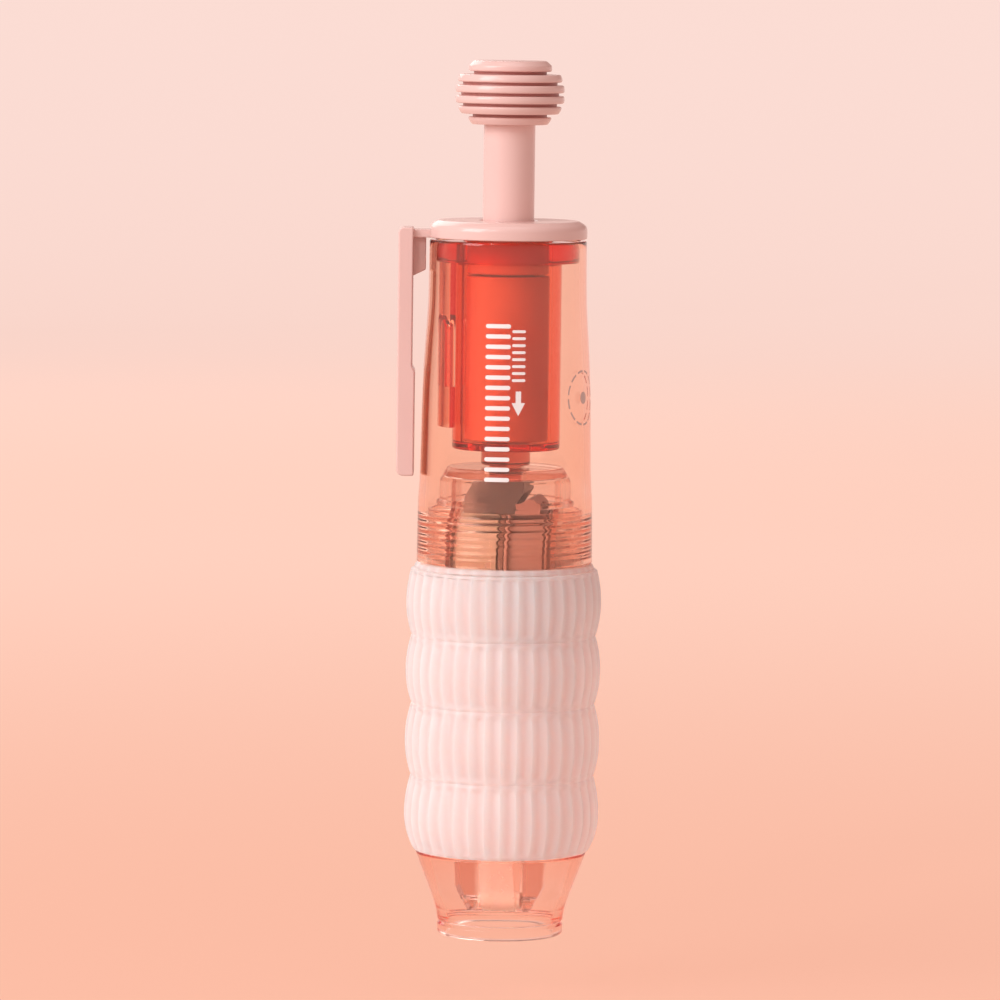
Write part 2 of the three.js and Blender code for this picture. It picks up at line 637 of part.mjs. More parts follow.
const RUN_R = ROLLER_R + GAP + TAPE_THICKNESS / 2; // the tape's middle line round the roller
const RUN_PIN_Y = GUIDE_PIN_Y + GUIDE_PIN_R + GAP + TAPE_THICKNESS / 2;

// A flat strip whose middle line is [y, z] points. It leans sideways: by shift at its reel, 0 at the head.
function strip(middle, shift) {
  const half = TAPE_THICKNESS / 2;
  const faces = { left: [], right: [] };
  middle.forEach(([y, z], i) => {
    const [beforeY, beforeZ] = middle[Math.max(i - 1, 0)];
    const [afterY, afterZ] = middle[Math.min(i + 1, middle.length - 1)];
    const length = Math.hypot(afterY - beforeY, afterZ - beforeZ);
    const [acrossY, acrossZ] = [-(afterZ - beforeZ) / length, (afterY - beforeY) / length];
    faces.left.push([y + half * acrossY, z + half * acrossZ]);
    faces.right.push([y - half * acrossY, z - half * acrossZ]);
  });
  const geometry = sidePlate([...faces.left, ...faces.right.reverse()], [-TAPE_WIDTH / 2, TAPE_WIDTH / 2]);
  const place = geometry.attributes.position;
  for (let i = 0; i < place.count; i += 1) {
    const share = Math.max(0, (place.getZ(i) - HEAD_Z) / (REEL_Z - HEAD_Z));
    place.setX(i, place.getX(i) + share * shift);
  }
  return geometry;
}

function tapeRun() {
  const middle = [[-TAPE_ROLL_R - GAP - TAPE_THICKNESS / 2, REEL_Z], [-RUN_PIN_Y, GUIDE_PIN_Z]];
  const steps = 8;
  for (let step = 0; step <= steps; step += 1) {
    const angle = Math.PI * (1 + step / steps);
    middle.push([RUN_R * Math.cos(angle), HEAD_Z + RUN_R * Math.sin(angle)]);
  }
  return strip(middle, SUPPLY_LEFT + SUPPLY_FLANGE + GAP + TAPE_WIDTH / 2);
}

function linerRun() {
  const reelY = LINER_ROLL_R + GAP + TAPE_THICKNESS / 2;
  const middle = [[RUN_R, HEAD_Z + GAP], [RUN_PIN_Y, GUIDE_PIN_Z], [reelY, REEL_Z]];
  return strip(middle, TAKE_UP_RIGHT - TAKE_UP_FLANGE - GAP - TAPE_WIDTH / 2);
}

function headRoller() {
  const roller = crossPin(ROLLER_R, [-ROLLER_HALF_LENGTH, ROLLER_HALF_LENGTH], 0, HEAD_Z);
  const bore = crossPin(ROLLER_PIN_R + GAP, [-FORK_INNER, FORK_INNER], 0, HEAD_Z);
  return cut(roller, bore);
}

const rollerPin = () => crossPin(ROLLER_PIN_R, [-FORK_OUTER + GAP, FORK_OUTER - GAP], 0, HEAD_Z);
const guidePin = (side) => crossPin(GUIDE_PIN_R, [EARS[0][0], EARS[1][1]], side * GUIDE_PIN_Y, GUIDE_PIN_Z);

// ---------- front ----------

// Raises a right-hand helical ridge on the neck, which climbs one pitch in each turn.
function threaded(shell) {
  const place = shell.attributes.position;
  for (let i = 0; i < place.count; i += 1) {
    const [x, y, z] = [place.getX(i), place.getY(i), place.getZ(i)];
    const radius = Math.hypot(x, y);
    const turns = (z - THREAD_BOTTOM) / THREAD_PITCH;
    if (radius > NECK_R - GAP && turns > -GAP && turns < THREAD_TURNS + GAP) {
      const phase = turns - Math.atan2(y, x) / (2 * Math.PI);
      const ridge = 1 - Math.abs(2 * (phase - Math.floor(phase)) - 1);
      const wider = 1 + (THREAD_DEPTH * ridge) / radius;
      place.setXY(i, x * wider, y * wider);
    }
  }
  return shell;
}

function lowerBody() {
  const neck = [];
  for (let row = 0; row <= THREAD_TURNS * THREAD_ROWS; row += 1) {
    neck.push([NECK_R, THREAD_BOTTOM + (row * THREAD_PITCH) / THREAD_ROWS]);
  }
  return threaded(turnedRing([
    [NOSE_MOUTH_R, 0], ...NOSE_OUTLINE, [TUBE_R, NOSE_OUTLINE.at(-1)[1]], [TUBE_R, TUBE_TOP],
    [NECK_R, TUBE_TOP], ...neck, [NECK_R, NECK_TOP], [TUBE_BORE, NECK_TOP], [TUBE_BORE, TUBE_BORE_BOTTOM],
    ...NOSE_BORE,
  ], LARGE_FACETS));
}

function neckWasher() {
  const bottom = TUBE_TOP + GAP;
  return plainRing([NECK_R + GAP, WASHER_R], [bottom, bottom + WASHER_THICKNESS], LARGE_FACETS);
}

function gripSleeve() {
  const outline = [[GRIP_BORE, GRIP_BOTTOM], GRIP_PINCHES[0]];
  for (let bulge = 1; bulge < GRIP_PINCHES.length; bulge += 1) {
    const [[lowR, low], [highR, high]] = [GRIP_PINCHES[bulge - 1], GRIP_PINCHES[bulge]];
    for (const share of [0.18, 0.5, 0.82]) {
      const swell = Math.sin(Math.PI * share) ** 0.8;
      const endR = share > 0.5 ? highR : lowR;
      outline.push([endR + (GRIP_BULGE_R - endR) * swell, low + share * (high - low)]);
    }
    outline.push([highR, high]);
  }
  outline.push([GRIP_BORE, TUBE_TOP]);
  return turnedRing(outline, LARGE_FACETS);
}

// ---------- assembly ----------

const pen = new THREE.Group();
pen.position.x = AXIS_X;
const carriage = new THREE.Group();
carriage.rotation.z = CARRIAGE_TURN;
pen.add(carriage);

function place(group, name, geometry, material) {
  const mesh = new THREE.Mesh(geometry, material);
  mesh.name = name;
  group.add(mesh);
}

place(pen, 'barrel', barrel(), finish.clearCoral);
place(pen, 'end_cap', endCap(), finish.pink);
place(pen, 'pocket_clip', pocketClip(), finish.pink);
place(pen, 'press_knob', pressKnob(), finish.pink);
place(pen, 'push_rod', pushRod(), finish.pink);
place(pen, 'plunger_guide', plungerGuide(), finish.deepCoral);
place(pen, 'cam_housing', camHousing(), finish.pink);
place(pen, 'return_spring', returnSpring(), finish.steel);
place(pen, 'click_rotor', clickRotor(), finish.darkPlastic);

place(carriage, 'carriage_stem', carriageStem(), finish.deepCoral);
place(carriage, 'carriage_cap', carriageCap(), finish.clearRose);
place(carriage, 'reel_saddle', reelSaddle(), finish.darkPlastic);
place(carriage, 'carriage_frame', carriageFrame(), finish.clearRose);
place(carriage, 'carriage_cover', carriageCover(), finish.clearRose);
place(carriage, 'supply_spool', supplySpool(), finish.clearRose);
place(carriage, 'tape_roll', tapeRoll(), finish.kraftTape);
place(carriage, 'ratchet_disc', ratchetDisc(), finish.darkPlastic);
place(carriage, 'take_up_spool', takeUpSpool(), finish.coralPlastic);
place(carriage, 'liner_roll', linerRoll(), finish.linerPaper);
place(carriage, 'clutch_spring', clutchSpring(), finish.steel);
place(carriage, 'reel_axle', reelAxle(), finish.steel);
place(carriage, 'front_guide_pin', guidePin(-1), finish.steel);
place(carriage, 'rear_guide_pin', guidePin(1), finish.steel);
place(carriage, 'tape_run', tapeRun(), finish.kraftTape);
place(carriage, 'liner_run', linerRun(), finish.linerPaper);
place(carriage, 'head_roller', headRoller(), finish.rubber);
place(carriage, 'roller_pin', rollerPin(), finish.steel);

place(pen, 'lower_body', lowerBody(), finish.clearCoral);
place(pen, 'neck_washer', neckWasher(), finish.silicone);
place(pen, 'grip_sleeve', gripSleeve(), finish.silicone);

export default pen;
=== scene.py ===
"""Looks of a press-type tape roller pen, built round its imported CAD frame."""

import json
import math
from contextlib import contextmanager

import bmesh
import bpy
import numpy as np
from mathutils import Matrix, Quaternion, Vector


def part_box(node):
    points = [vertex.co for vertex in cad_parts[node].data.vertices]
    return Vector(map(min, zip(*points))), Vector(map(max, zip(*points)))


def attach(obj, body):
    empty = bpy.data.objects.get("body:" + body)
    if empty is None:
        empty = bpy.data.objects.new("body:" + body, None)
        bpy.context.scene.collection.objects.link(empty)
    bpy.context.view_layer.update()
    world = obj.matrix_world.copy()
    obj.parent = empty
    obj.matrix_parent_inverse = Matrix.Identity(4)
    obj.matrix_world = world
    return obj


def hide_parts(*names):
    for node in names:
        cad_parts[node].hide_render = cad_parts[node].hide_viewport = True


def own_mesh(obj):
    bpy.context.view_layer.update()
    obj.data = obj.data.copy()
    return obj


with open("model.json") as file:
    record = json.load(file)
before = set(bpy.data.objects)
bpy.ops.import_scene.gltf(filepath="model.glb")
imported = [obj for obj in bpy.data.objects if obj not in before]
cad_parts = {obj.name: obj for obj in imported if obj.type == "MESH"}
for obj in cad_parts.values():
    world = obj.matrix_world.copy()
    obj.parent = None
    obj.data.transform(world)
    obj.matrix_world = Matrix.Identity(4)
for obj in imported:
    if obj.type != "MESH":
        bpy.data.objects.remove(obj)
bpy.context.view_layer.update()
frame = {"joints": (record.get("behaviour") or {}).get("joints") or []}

# ---------- places, in millimetres, from the CAD frame ----------

MM = 0.001
TURN = 2 * math.pi
FRONT = -math.pi / 2  # the side that faces the viewer
CLIP_SIDE = math.pi
GAP = 0.3  # between pieces that move past each other
SLIVER = 0.0006  # shorter edges than this are closed up
FINE_SIDES, SIDES, SMALL_SIDES = 160, 128, 96  # of turned pieces
FLUTES = 38
FIRST_RIDGE = FRONT - math.radians(0.6)


def span(node):
    """The lowest and highest corner of a CAD node, in millimetres."""
    return [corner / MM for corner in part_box(node)]


def heights(node):
    low, high = span(node)
    return low.z, high.z


def joint(name):
    return next(entry for entry in frame["joints"] if entry["name"] == name)


BARREL_LOW, BARREL_HIGH = heights("barrel")
AXIS_X = sum(corner.x for corner in span("barrel")) / 2
REEL_Z = sum(heights("ratchet_disc")) / 2
HEAD_Z = sum(heights("head_roller")) / 2
reel_axis = joint("supply_spin")["axis"]
REEL_HEADING = math.atan2(reel_axis[1], reel_axis[0])

PEN = Matrix.Translation((AXIS_X, 0, 0))
CARRIAGE = PEN @ Matrix.Rotation(REEL_HEADING, 4, "Z")
AXLE = CARRIAGE @ Matrix.Translation((0, 0, REEL_Z)) @ Matrix.Rotation(math.pi / 2, 4, "Y")

BORE_R, REEL_R = 1.5, 8.3  # of the reels
GUIDE_R, GUIDE_Y, GUIDE_Z = 0.6, 4.75, 43.9  # the guide pins, either side of the pen's middle
ROLLER_R, ROLLER_PIN_R = 1.5, 0.5

# ---------- mesh building, in millimetres ----------


@contextmanager
def edited(mesh):
    """Opens a mesh for changes, and writes them back."""
    shape = bmesh.new()
    shape.from_mesh(mesh)
    yield shape
    shape.to_mesh(mesh)
    shape.free()


def linked(name, data):
    obj = bpy.data.objects.new(name, data)
    bpy.context.scene.collection.objects.link(obj)
    return obj


def smoothed(shape):
    for face in shape.faces:
        face.smooth = True


def raw(name, points, faces):
    """A mesh object with smooth faces that all look outwards."""
    mesh = bpy.data.meshes.new(name)
    mesh.from_pydata(np.asarray(points, float).tolist(), [], faces)
    with edited(mesh) as shape:
        bmesh.ops.remove_doubles(shape, verts=shape.verts, dist=1e-6)
        bmesh.ops.recalc_face_normals(shape, faces=shape.faces)
        smoothed(shape)
    return linked(name, mesh)


def ring_faces(rings, sides, closed=False):
    """Faces between rings of points. closed joins the last ring to the first."""
    faces = []
    for ring in range(rings if closed else rings - 1):
        here, after = ring * sides, (ring + 1) % rings * sides
        for side in range(sides):
            beside = (side + 1) % sides
            faces.append((here + side, here + beside, after + beside, after + side))
    return faces


def lathe(name, outline, sides=SIDES, warp=None):
    """Turns a closed [radius, height] outline about Z. warp changes the radii of the turned points."""
    outline = np.array(outline, float)
    rows = len(outline)
    radius = np.repeat(outline[:, :1], sides, 1)
    height = np.repeat(outline[:, 1:], sides, 1)
    angle = np.repeat(np.arange(sides)[None] * TURN / sides, rows, 0)
    if warp:
        radius = warp(radius, angle, height)
    points = np.stack([radius * np.cos(angle), radius * np.sin(angle), height], -1)
    return raw(name, points.reshape(-1, 3), ring_faces(rows, sides, closed=True))


def arc(radius, start, end, count, centre=(0, 0), endpoint=True):
    """Points on a circle, from one angle to another."""
    angles = np.linspace(start, end, count, endpoint=endpoint)
    return [(centre[0] + radius * math.cos(a), centre[1] + radius * math.sin(a)) for a in angles]


def rounded(corners, steps=5):
    """A closed outline of [across, up] or [across, up, radius] corners, rounded where a radius is given."""
    outline = []
    for i, corner in enumerate(corners):
        here = np.array(corner[:2], float)
        if len(corner) < 3:
            outline.append(here)
            continue
        back = np.array(corners[i - 1][:2], float) - here
        ahead = np.array(corners[(i + 1) % len(corners)][:2], float) - here
        back_length, ahead_length = np.linalg.norm(back), np.linalg.norm(ahead)
        back, ahead = back / back_length, ahead / ahead_length
        half = math.acos(max(-1, min(1, float(back @ ahead)))) / 2
        reach = min(corner[2] / math.tan(half), 0.49 * back_length, 0.49 * ahead_length)
        weight = math.sin(half)
        for s in np.linspace(0, 1, steps + 1):
            shares = np.array([(1 - s) ** 2, 2 * weight * s * (1 - s), s * s])
            outline.append(shares @ [here + back * reach, here, here + ahead * reach] / shares.sum())
    return outline


def curved(points, steps):
    """A smooth line through points, with that many steps between neighbours."""
    points = np.array(points, float)
    ends = np.vstack([2 * points[0] - points[1], points, 2 * points[-1] - points[-2]])
    line = []
    for a, b, c, d in zip(ends, ends[1:], ends[2:], ends[3:]):
        slope, bend, twist = c - a, 2 * a - 5 * b + 4 * c - d, 3 * b - 3 * c + d - a
        for s in np.arange(steps) / steps:
            line.append(0.5 * (2 * b + slope * s + bend * s**2 + twist * s**3))
    return [*line, points[-1]]


def bevelled(obj, width, segments=3, angle=30):
    """Rounds every edge sharper than angle."""
    flat, sharp = math.radians(1), math.radians(angle)
    with edited(obj.data) as shape:
        bmesh.ops.dissolve_limit(shape, angle_limit=flat, verts=shape.verts, edges=shape.edges)
        edges = [e for e in shape.edges if len(e.link_faces) == 2 and e.calc_face_angle() > sharp]
        shaping = {"offset": width, "segments": segments, "profile": 0.5, "clamp_overlap": True}
        bmesh.ops.bevel(shape, geom=edges, affect="EDGES", **shaping)
        smoothed(shape)
    return obj


def prism(name, outline, low, high, axis="y", bevel=0.0):
    """A plate with its outline across axis, from low to high along it."""
    order = {"x": [2, 0, 1], "y": [0, 2, 1], "z": [0, 1, 2]}[axis]
    count = len(outline)
    points = np.array([[*point, along] for along in (low, high) for point in outline])[:, order]
    sides = [(i, (i + 1) % count, (i + 1) % count + count, i + count) for i in range(count)]
    obj = raw(name, points, [*sides, tuple(range(count)), tuple(range(count, 2 * count))])
    return bevelled(obj, bevel) if bevel else obj


def rectangle(low, high):
    return [(low[0], low[1]), (high[0], low[1]), (high[0], high[1]), (low[0], high[1])]


def soft_rectangle(low, high, radius):
    return rounded([(*corner, radius) for corner in rectangle(low, high)])


def block(name, x, y, z, bevel=0.0):
    return prism(name, rectangle((x[0], z[0]), (x[1], z[1])), y[0], y[1], "y", bevel)


def turned_x(obj, y=0.0, z=0.0):
    """Lays a piece turned about Z along X, through the point y, z."""
    obj.data.transform(Matrix.Translation((0, y, z)) @ Matrix.Rotation(math.pi / 2, 4, "Y"))
    return obj


def pin(name, radius, low, high, round_end=0.12, sides=40):
    corners = [(0, low), (radius, low, round_end), (radius, high, round_end), (0, high)]
    return lathe(name, rounded(corners), sides)


def combined(target, tools, operation):
    """target with the tools cut out of it or joined to it; the tools go."""
    for tool in tools:
        change = target.modifiers.new("change", "BOOLEAN")
        change.operation, change.object, change.solver = operation, tool, "EXACT"
    bpy.context.view_layer.update()
    mesh = bpy.data.meshes.new_from_object(target.evaluated_get(bpy.context.evaluated_depsgraph_get()))
    target.modifiers.clear()
    target.data = mesh
    for tool in tools:
        bpy.data.objects.remove(tool)
    return target


def cut(target, *tools):
    return combined(target, tools, "DIFFERENCE")


def joined(target, *tools):
    return combined(target, tools, "UNION")


def coil(name, radius, wire, turns, low, high, flat_ends=0.75, steps=28, sides=10):
    """A wound wire about Z, with its end turns laid flat."""
    count = int(turns * steps)
    share = np.linspace(0, 1, count + 1)
    angle = share * turns * TURN
    end = flat_ends / turns
    rise = np.clip((share - end) / (1 - 2 * end), 0, 1)
    height = low + wire + (high - low - 2 * wire) * rise
    centre = np.stack([radius * np.cos(angle), radius * np.sin(angle), height], -1)
    along = np.gradient(centre, axis=0)
    along /= np.linalg.norm(along, axis=1)[:, None]
    out = np.stack([np.cos(angle), np.sin(angle), 0 * angle], -1)
    up = np.cross(along, out)
    around = (np.arange(sides) * TURN / sides)[None, :, None]
    points = centre[:, None] + wire * (np.cos(around) * out[:, None] + np.sin(around) * up[:, None])
    ends = [tuple(range(sides)), tuple(range(count * sides, (count + 1) * sides))]
    return raw(name, points.reshape(-1, 3), ring_faces(count + 1, sides) + ends)


# ---------- finishes ----------


class Finish:
    """A node material under construction."""

    def __init__(self, name):
        self.material = bpy.data.materials.new(name)
        self.material.use_nodes = True
        self.tree = self.material.node_tree
        self.tree.nodes.clear()
        self.place = self.node("ShaderNodeTexCoord").outputs["Object"]
        self.shader = self.node("ShaderNodeBsdfPrincipled")
        self.output = self.node("ShaderNodeOutputMaterial", {"Surface": self.shader.outputs[0]})

    def node(self, kind, inputs=None, **settings):
        """A new node. Each of its inputs is a value, or the socket that feeds it."""
        made = self.tree.nodes.new(kind)
        for key, value in settings.items():
            setattr(made, key, value)
        for key, value in (inputs or {}).items():
            if isinstance(value, bpy.types.NodeSocket):
                self.join(value, made.inputs[key])
            else:
                made.inputs[key].default_value = value
        return made

    def join(self, source, target):
        self.tree.links.new(source, target)

    def feed(self, source, name):
        """Links source to a shader input."""
        self.join(source, self.shader.inputs[name])
        return self

    def set(self, **values):
        for key, value in values.items():
            self.shader.inputs[key.replace("_", " ")].default_value = value
        return self

    def axes(self, vector=None):
        """The X, Y and Z of a vector, or of the place in metres."""
        return self.node("ShaderNodeSeparateXYZ", {0: vector or self.place}).outputs

    def noise(self, scale, detail=3.0, roughness=0.55, stretch=None):
        place = self.place
        if stretch:
            place = self.node("ShaderNodeMapping", {"Vector": place, "Scale": stretch}).outputs[0]
        inputs = {"Vector": place, "Scale": scale, "Detail": detail, "Roughness": roughness}
        return self.node("ShaderNodeTexNoise", inputs).outputs["Fac"]

    def spread(self, source, low, high, start=0.35, end=0.65):
        inputs = {"Value": source, "From Min": start, "From Max": end, "To Min": low, "To Max": high}
        return self.node("ShaderNodeMapRange", inputs).outputs["Result"]

    def mixed(self, factor, first, second):
        """Between two colours or colour sockets."""
        colours = [(*c, 1) if isinstance(c, tuple) else c for c in (first, second)]
        inputs = {"Factor": factor, 6: colours[0], 7: colours[1]}
        return self.node("ShaderNodeMix", inputs, data_type="RGBA").outputs[2]

    def math(self, operation, *values):
        return self.node("ShaderNodeMath", dict(enumerate(values)), operation=operation).outputs[0]

    def coloured(self, source, first, second, start=0.35, end=0.65):
        """Base colour between two colours."""
        return self.feed(self.mixed(self.spread(source, 0, 1, start, end), first, second), "Base Color")

    def rough(self, source, low, high):
        return self.feed(self.spread(source, low, high), "Roughness")

    def bumped(self, source, strength, depth):
        """A bump of that depth in millimetres, on top of any earlier one."""
        inputs = {"Height": source, "Strength": strength, "Distance": depth * MM}
        earlier = self.shader.inputs["Normal"].links
        if earlier:
            inputs["Normal"] = earlier[0].from_socket
        return self.feed(self.node("ShaderNodeBump", inputs).outputs["Normal"], "Normal")

    def absorbing(self, colour, density):
        made = self.node("ShaderNodeVolumeAbsorption", {"Color": (*colour, 1), "Density": density})
        self.join(made.outputs["Volume"], self.output.inputs["Volume"])

    def letting_lamps_through(self, tint):
        """Light from the lamps reaches what is behind this finish."""
        shadow = self.node("ShaderNodeLightPath").outputs["Is Shadow Ray"]
        clear = self.node("ShaderNodeBsdfTransparent", {"Color": (*tint, 1)}).outputs[0]
        mix = self.node("ShaderNodeMixShader", {0: shadow, 1: self.shader.outputs[0], 2: clear})
        self.join(mix.outputs[0], self.output.inputs["Surface"])


def plastic(name, colour, shade, roughness, subsurface=0.0):
    made = Finish(name).set(IOR=1.5)
    made.coloured(made.noise(90, 2), shade, colour)
    made.rough(made.noise(420, 1), roughness - 0.01, roughness + 0.015)
    made.bumped(made.noise(260, 1), 0.02, 0.004)
    if subsurface:
        made.set(Subsurface_Weight=subsurface, Subsurface_Radius=(1.0, 0.45, 0.35), Subsurface_Scale=0.0012)
    return made


def clear_plastic(name, absorb, density, tint, roughness=0.03, ior=1.49, lamps=(0.92, 0.90, 0.89)):
    """See-through moulding, coloured by its depth. lamps tints the lamps' light that passes it."""
    made = Finish(name).set(IOR=ior, Transmission_Weight=1.0)
    made.coloured(made.noise(180), tuple(0.985 * c for c in tint), tint)
    made.rough(made.noise(700, 4), roughness * 0.6, roughness * 1.5)
    made.bumped(made.noise(420, 3), 0.05, 0.01)
    made.absorbing(absorb, density)
    made.letting_lamps_through(lamps)
    return made


def metal(name, colour, roughness):
    made = Finish(name).set(Metallic=1.0)
    made.coloured(made.noise(600), tuple(0.92 * c for c in colour), colour)
    made.rough(made.noise(2500, 3, stretch=(0.05, 1, 1)), roughness - 0.06, roughness + 0.08)
    made.bumped(made.noise(9000, 2, stretch=(0.04, 1, 1)), 0.12, 0.004)
    return made


PLASTICS = {  # name, colour, shade, roughness, subsurface
    "pink": ("satin_pink_plastic", (0.85, 0.575, 0.53), (0.84, 0.565, 0.52), 0.19),
    "dark": ("dark_umber_plastic", (0.30, 0.18, 0.14), (0.26, 0.15, 0.12), 0.6),
    "housing": ("housing_plastic", (0.79, 0.46, 0.37), (0.76, 0.44, 0.35), 0.4),
    "lug": ("brown_rose_plastic", (0.50, 0.26, 0.21), (0.44, 0.22, 0.18), 0.36, 0.1),
    # deep rose for the knob's core: painted shade in the knob's grooves
    "groove_shade_rose": ("groove_shade_rose_plastic", (0.50, 0.20, 0.18), (0.46, 0.18, 0.16), 0.4),
    "coral": ("coral_plastic", (0.56, 0.375, 0.325), (0.52, 0.345, 0.295), 0.62, 0.1),
    "rubber": ("peach_rubber", (0.90, 0.64, 0.54), (0.86, 0.60, 0.50), 0.66, 0.4),
    "ink": ("white_ink", (0.97, 0.955, 0.94), (0.93, 0.91, 0.895), 0.38),
    "grey_ink": ("grey_ink", (0.70, 0.53, 0.48), (0.66, 0.49, 0.44), 0.4),
}
CLEAR_PLASTICS = {  # name, absorption colour and density, tint, roughness, refraction, lamps
    "clear_coral": ("clear_coral_plastic", (0.975, 0.46, 0.22), 325, (1.0, 0.99, 0.96)),
    "pale_coral": (
        "pale_coral_plastic", (0.98, 0.42, 0.22), 140, (1.0, 0.985, 0.98), 0.08, 1.33, (0.98, 0.97, 0.965),
    ),
    "deep_coral": (
        "deep_coral_plastic", (0.97, 0.34, 0.04), 640, (1.0, 0.97, 0.96), 0.05, 1.49, (0.98, 0.76, 0.68),
    ),
    "stem_coral": ("stem_coral_plastic", (0.85, 0.42, 0.32), 500, (1.0, 0.97, 0.96), 0.06),
    "clear_rose": ("clear_rose_plastic", (0.90, 0.60, 0.52), 90, (1.0, 0.98, 0.975), 0.08, 1.18),
    "rose_frame": ("rose_frame_plastic", (0.80, 0.40, 0.30), 250, (1.0, 0.97, 0.96), 0.18, 1.12),
}
finishes = {key: plastic(*facts) for key, facts in PLASTICS.items()}
finishes.update({key: clear_plastic(*facts) for key, facts in CLEAR_PLASTICS.items()})
finishes["steel"] = metal("bright_steel", (0.72, 0.72, 0.73), 0.24)
finishes["pin"] = metal("soft_steel", (0.86, 0.74, 0.69), 0.5)

# The lower body is clearer in the nose and deeper in the threaded neck.
body_height = finishes["pale_coral"].axes()["Z"]
finishes["pale_coral"].coloured(body_height, (1.0, 0.99, 0.985), (0.985, 0.86, 0.81), 54 * MM, 56 * MM)


def saddle_plastic_shaded_right():
    """Brown smoky plastic, with painted shade that darkens it towards its right end, away from the key light.
    """
    start, end, uneven = -0.0055, 0.0015, 0.006
    made = Finish("smoky_umber_plastic_shaded_right").set(IOR=1.5, Subsurface_Weight=0.2, Subsurface_Scale=0.0008)
    along = made.math("ADD", made.axes()["X"], made.math("MULTIPLY", made.noise(420, 3), uneven))
    # Painted shade: the colour runs from light brown on the left to near black on the right.
    made.coloured(along, (0.62, 0.40, 0.33), (0.15, 0.095, 0.078), start, end)
    made.rough(made.noise(900, 4), 0.3, 0.42)
    made.bumped(made.noise(520, 2), 0.35, 0.12)
    return made


def silicone():
    """Milky and soft. It is paler on the ridges and pinker in the hollows: partly the thicker silicone on the
    ridges, partly a painted highlight on the ridges and painted shade in the hollows.
    """
    made = Finish("milky_silicone").set(
        IOR=1.41, Subsurface_Weight=1.0, Subsurface_Radius=(1.0, 0.85, 0.8), Subsurface_Scale=0.004,
        Transmission_Weight=0.4, Sheen_Weight=0.4, Sheen_Roughness=0.5,
    )
    place = made.axes()
    angle = made.math("ARCTAN2", place["Y"], made.math("SUBTRACT", place["X"], AXIS_X * MM))
    turns = made.math("MULTIPLY", made.math("SUBTRACT", angle, FIRST_RIDGE - TURN), FLUTES / TURN)
    sawtooth = made.math("MULTIPLY", made.math("FRACT", turns), 2)
    ridge = made.math("POWER", made.math("ABSOLUTE", made.math("SUBTRACT", sawtooth, 1)), 1.6)
    # Painted highlight on the ridges and painted shade in the hollows, with a little noise.
    painted_ridge_light = made.math("ADD", ridge, made.math("MULTIPLY", made.noise(140, 4), 0.25))
    made.coloured(painted_ridge_light, (0.885, 0.755, 0.74), (0.965, 0.925, 0.915), 0.1, 1.05)
    made.rough(made.noise(1400, 4), 0.30, 0.42)
    made.bumped(made.noise(3000, 3), 0.08, 0.01)
    made.letting_lamps_through((0.88, 0.87, 0.865))
    return made


def wound(name, colour, edge_colour, pitch, roughness):
    """Paper or film wound on a reel, with fine rings round the reel axle."""
    made = Finish(name).set(IOR=1.45, Subsurface_Weight=0.1, Subsurface_Scale=0.0006)
    inputs = {"Vector": made.place, "Center": (AXIS_X * MM, 0, 0), "Angle": -REEL_HEADING}
    place = made.axes(made.node("ShaderNodeVectorRotate", inputs, rotation_type="Z_AXIS").outputs[0])
    rise = made.math("SUBTRACT", place["Z"], REEL_Z * MM)
    square = made.math("ADD", made.math("POWER", rise, 2), made.math("POWER", place["Y"], 2))
    wave = made.math("SINE", made.math("MULTIPLY", made.math("SQRT", square), TURN / (pitch * MM)))
    made.coloured(wave, edge_colour, colour, -1, 1)
    made.rough(made.noise(900, 4, stretch=(8, 1, 1)), roughness - 0.12, roughness + 0.10)
    made.bumped(wave, 0.25, 0.02)
    made.bumped(made.noise(500, 3, stretch=(6, 0.4, 0.4)), 0.35, 0.03)
    return made


def film(name, colour, shade, roughness, clear):
    """A strip of paper or film: fibres and faint creases across it."""
    made = Finish(name).set(IOR=1.2, Transmission_Weight=clear)
    made.set(Subsurface_Weight=0.08, Subsurface_Scale=0.0004)
    made.coloured(made.noise(520, 5, stretch=(1, 1, 0.25)), shade, colour)
    made.rough(made.noise(1100, 4), roughness - 0.08, roughness + 0.08)
    made.bumped(made.noise(900, 2, stretch=(0.3, 1, 1)), 0.1, 0.01)
    made.letting_lamps_through((0.85, 0.80, 0.76))
    return made


finishes["silicone"] = silicone()
finishes["saddle"] = saddle_plastic_shaded_right()
finishes["tape_roll"] = wound("wound_glue_tape", (0.64, 0.56, 0.45), (0.49, 0.41, 0.32), 0.2, 0.42)
finishes["liner_roll"] = wound("wound_liner", (0.46, 0.31, 0.275), (0.40, 0.255, 0.225), 0.12, 0.6)
finishes["tape"] = film("glue_tape", (0.99, 0.90, 0.84), (0.97, 0.87, 0.81), 0.35, 0.8)
finishes["liner"] = film("liner_paper", (0.94, 0.70, 0.61), (0.90, 0.65, 0.56), 0.55, 0.6)


def add(obj, finish, body, slot, *nodes, place=PEN, weighted=True):
    """Puts a finished piece in the frame: its place, finish, body and the CAD nodes it stands for. slot is
    not used.
    """
    with edited(obj.data) as shape:
        bmesh.ops.remove_doubles(shape, verts=shape.verts, dist=SLIVER)
        bmesh.ops.dissolve_degenerate(shape, edges=shape.edges, dist=SLIVER)
    obj.data.transform(Matrix.Scale(MM, 4) @ place)
    obj.data.materials.clear()
    obj.data.materials.append(finishes[finish].material)
    obj.data.set_sharp_from_angle(angle=math.radians(38))
    if weighted:
        normals = obj.modifiers.new("normals", "WEIGHTED_NORMAL")
        normals.weight, normals.keep_sharp = 60, True
    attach(obj, body)
    if nodes:
        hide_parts(*nodes)
    return obj


THREAD_LOW, THREAD_PITCH, THREAD_TURNS, THREAD_RUN_OUT = 56.4, 1.06, 6.5, 0.6
THREAD_STEP = 0.07  # between the rows of points that the thread is drawn with


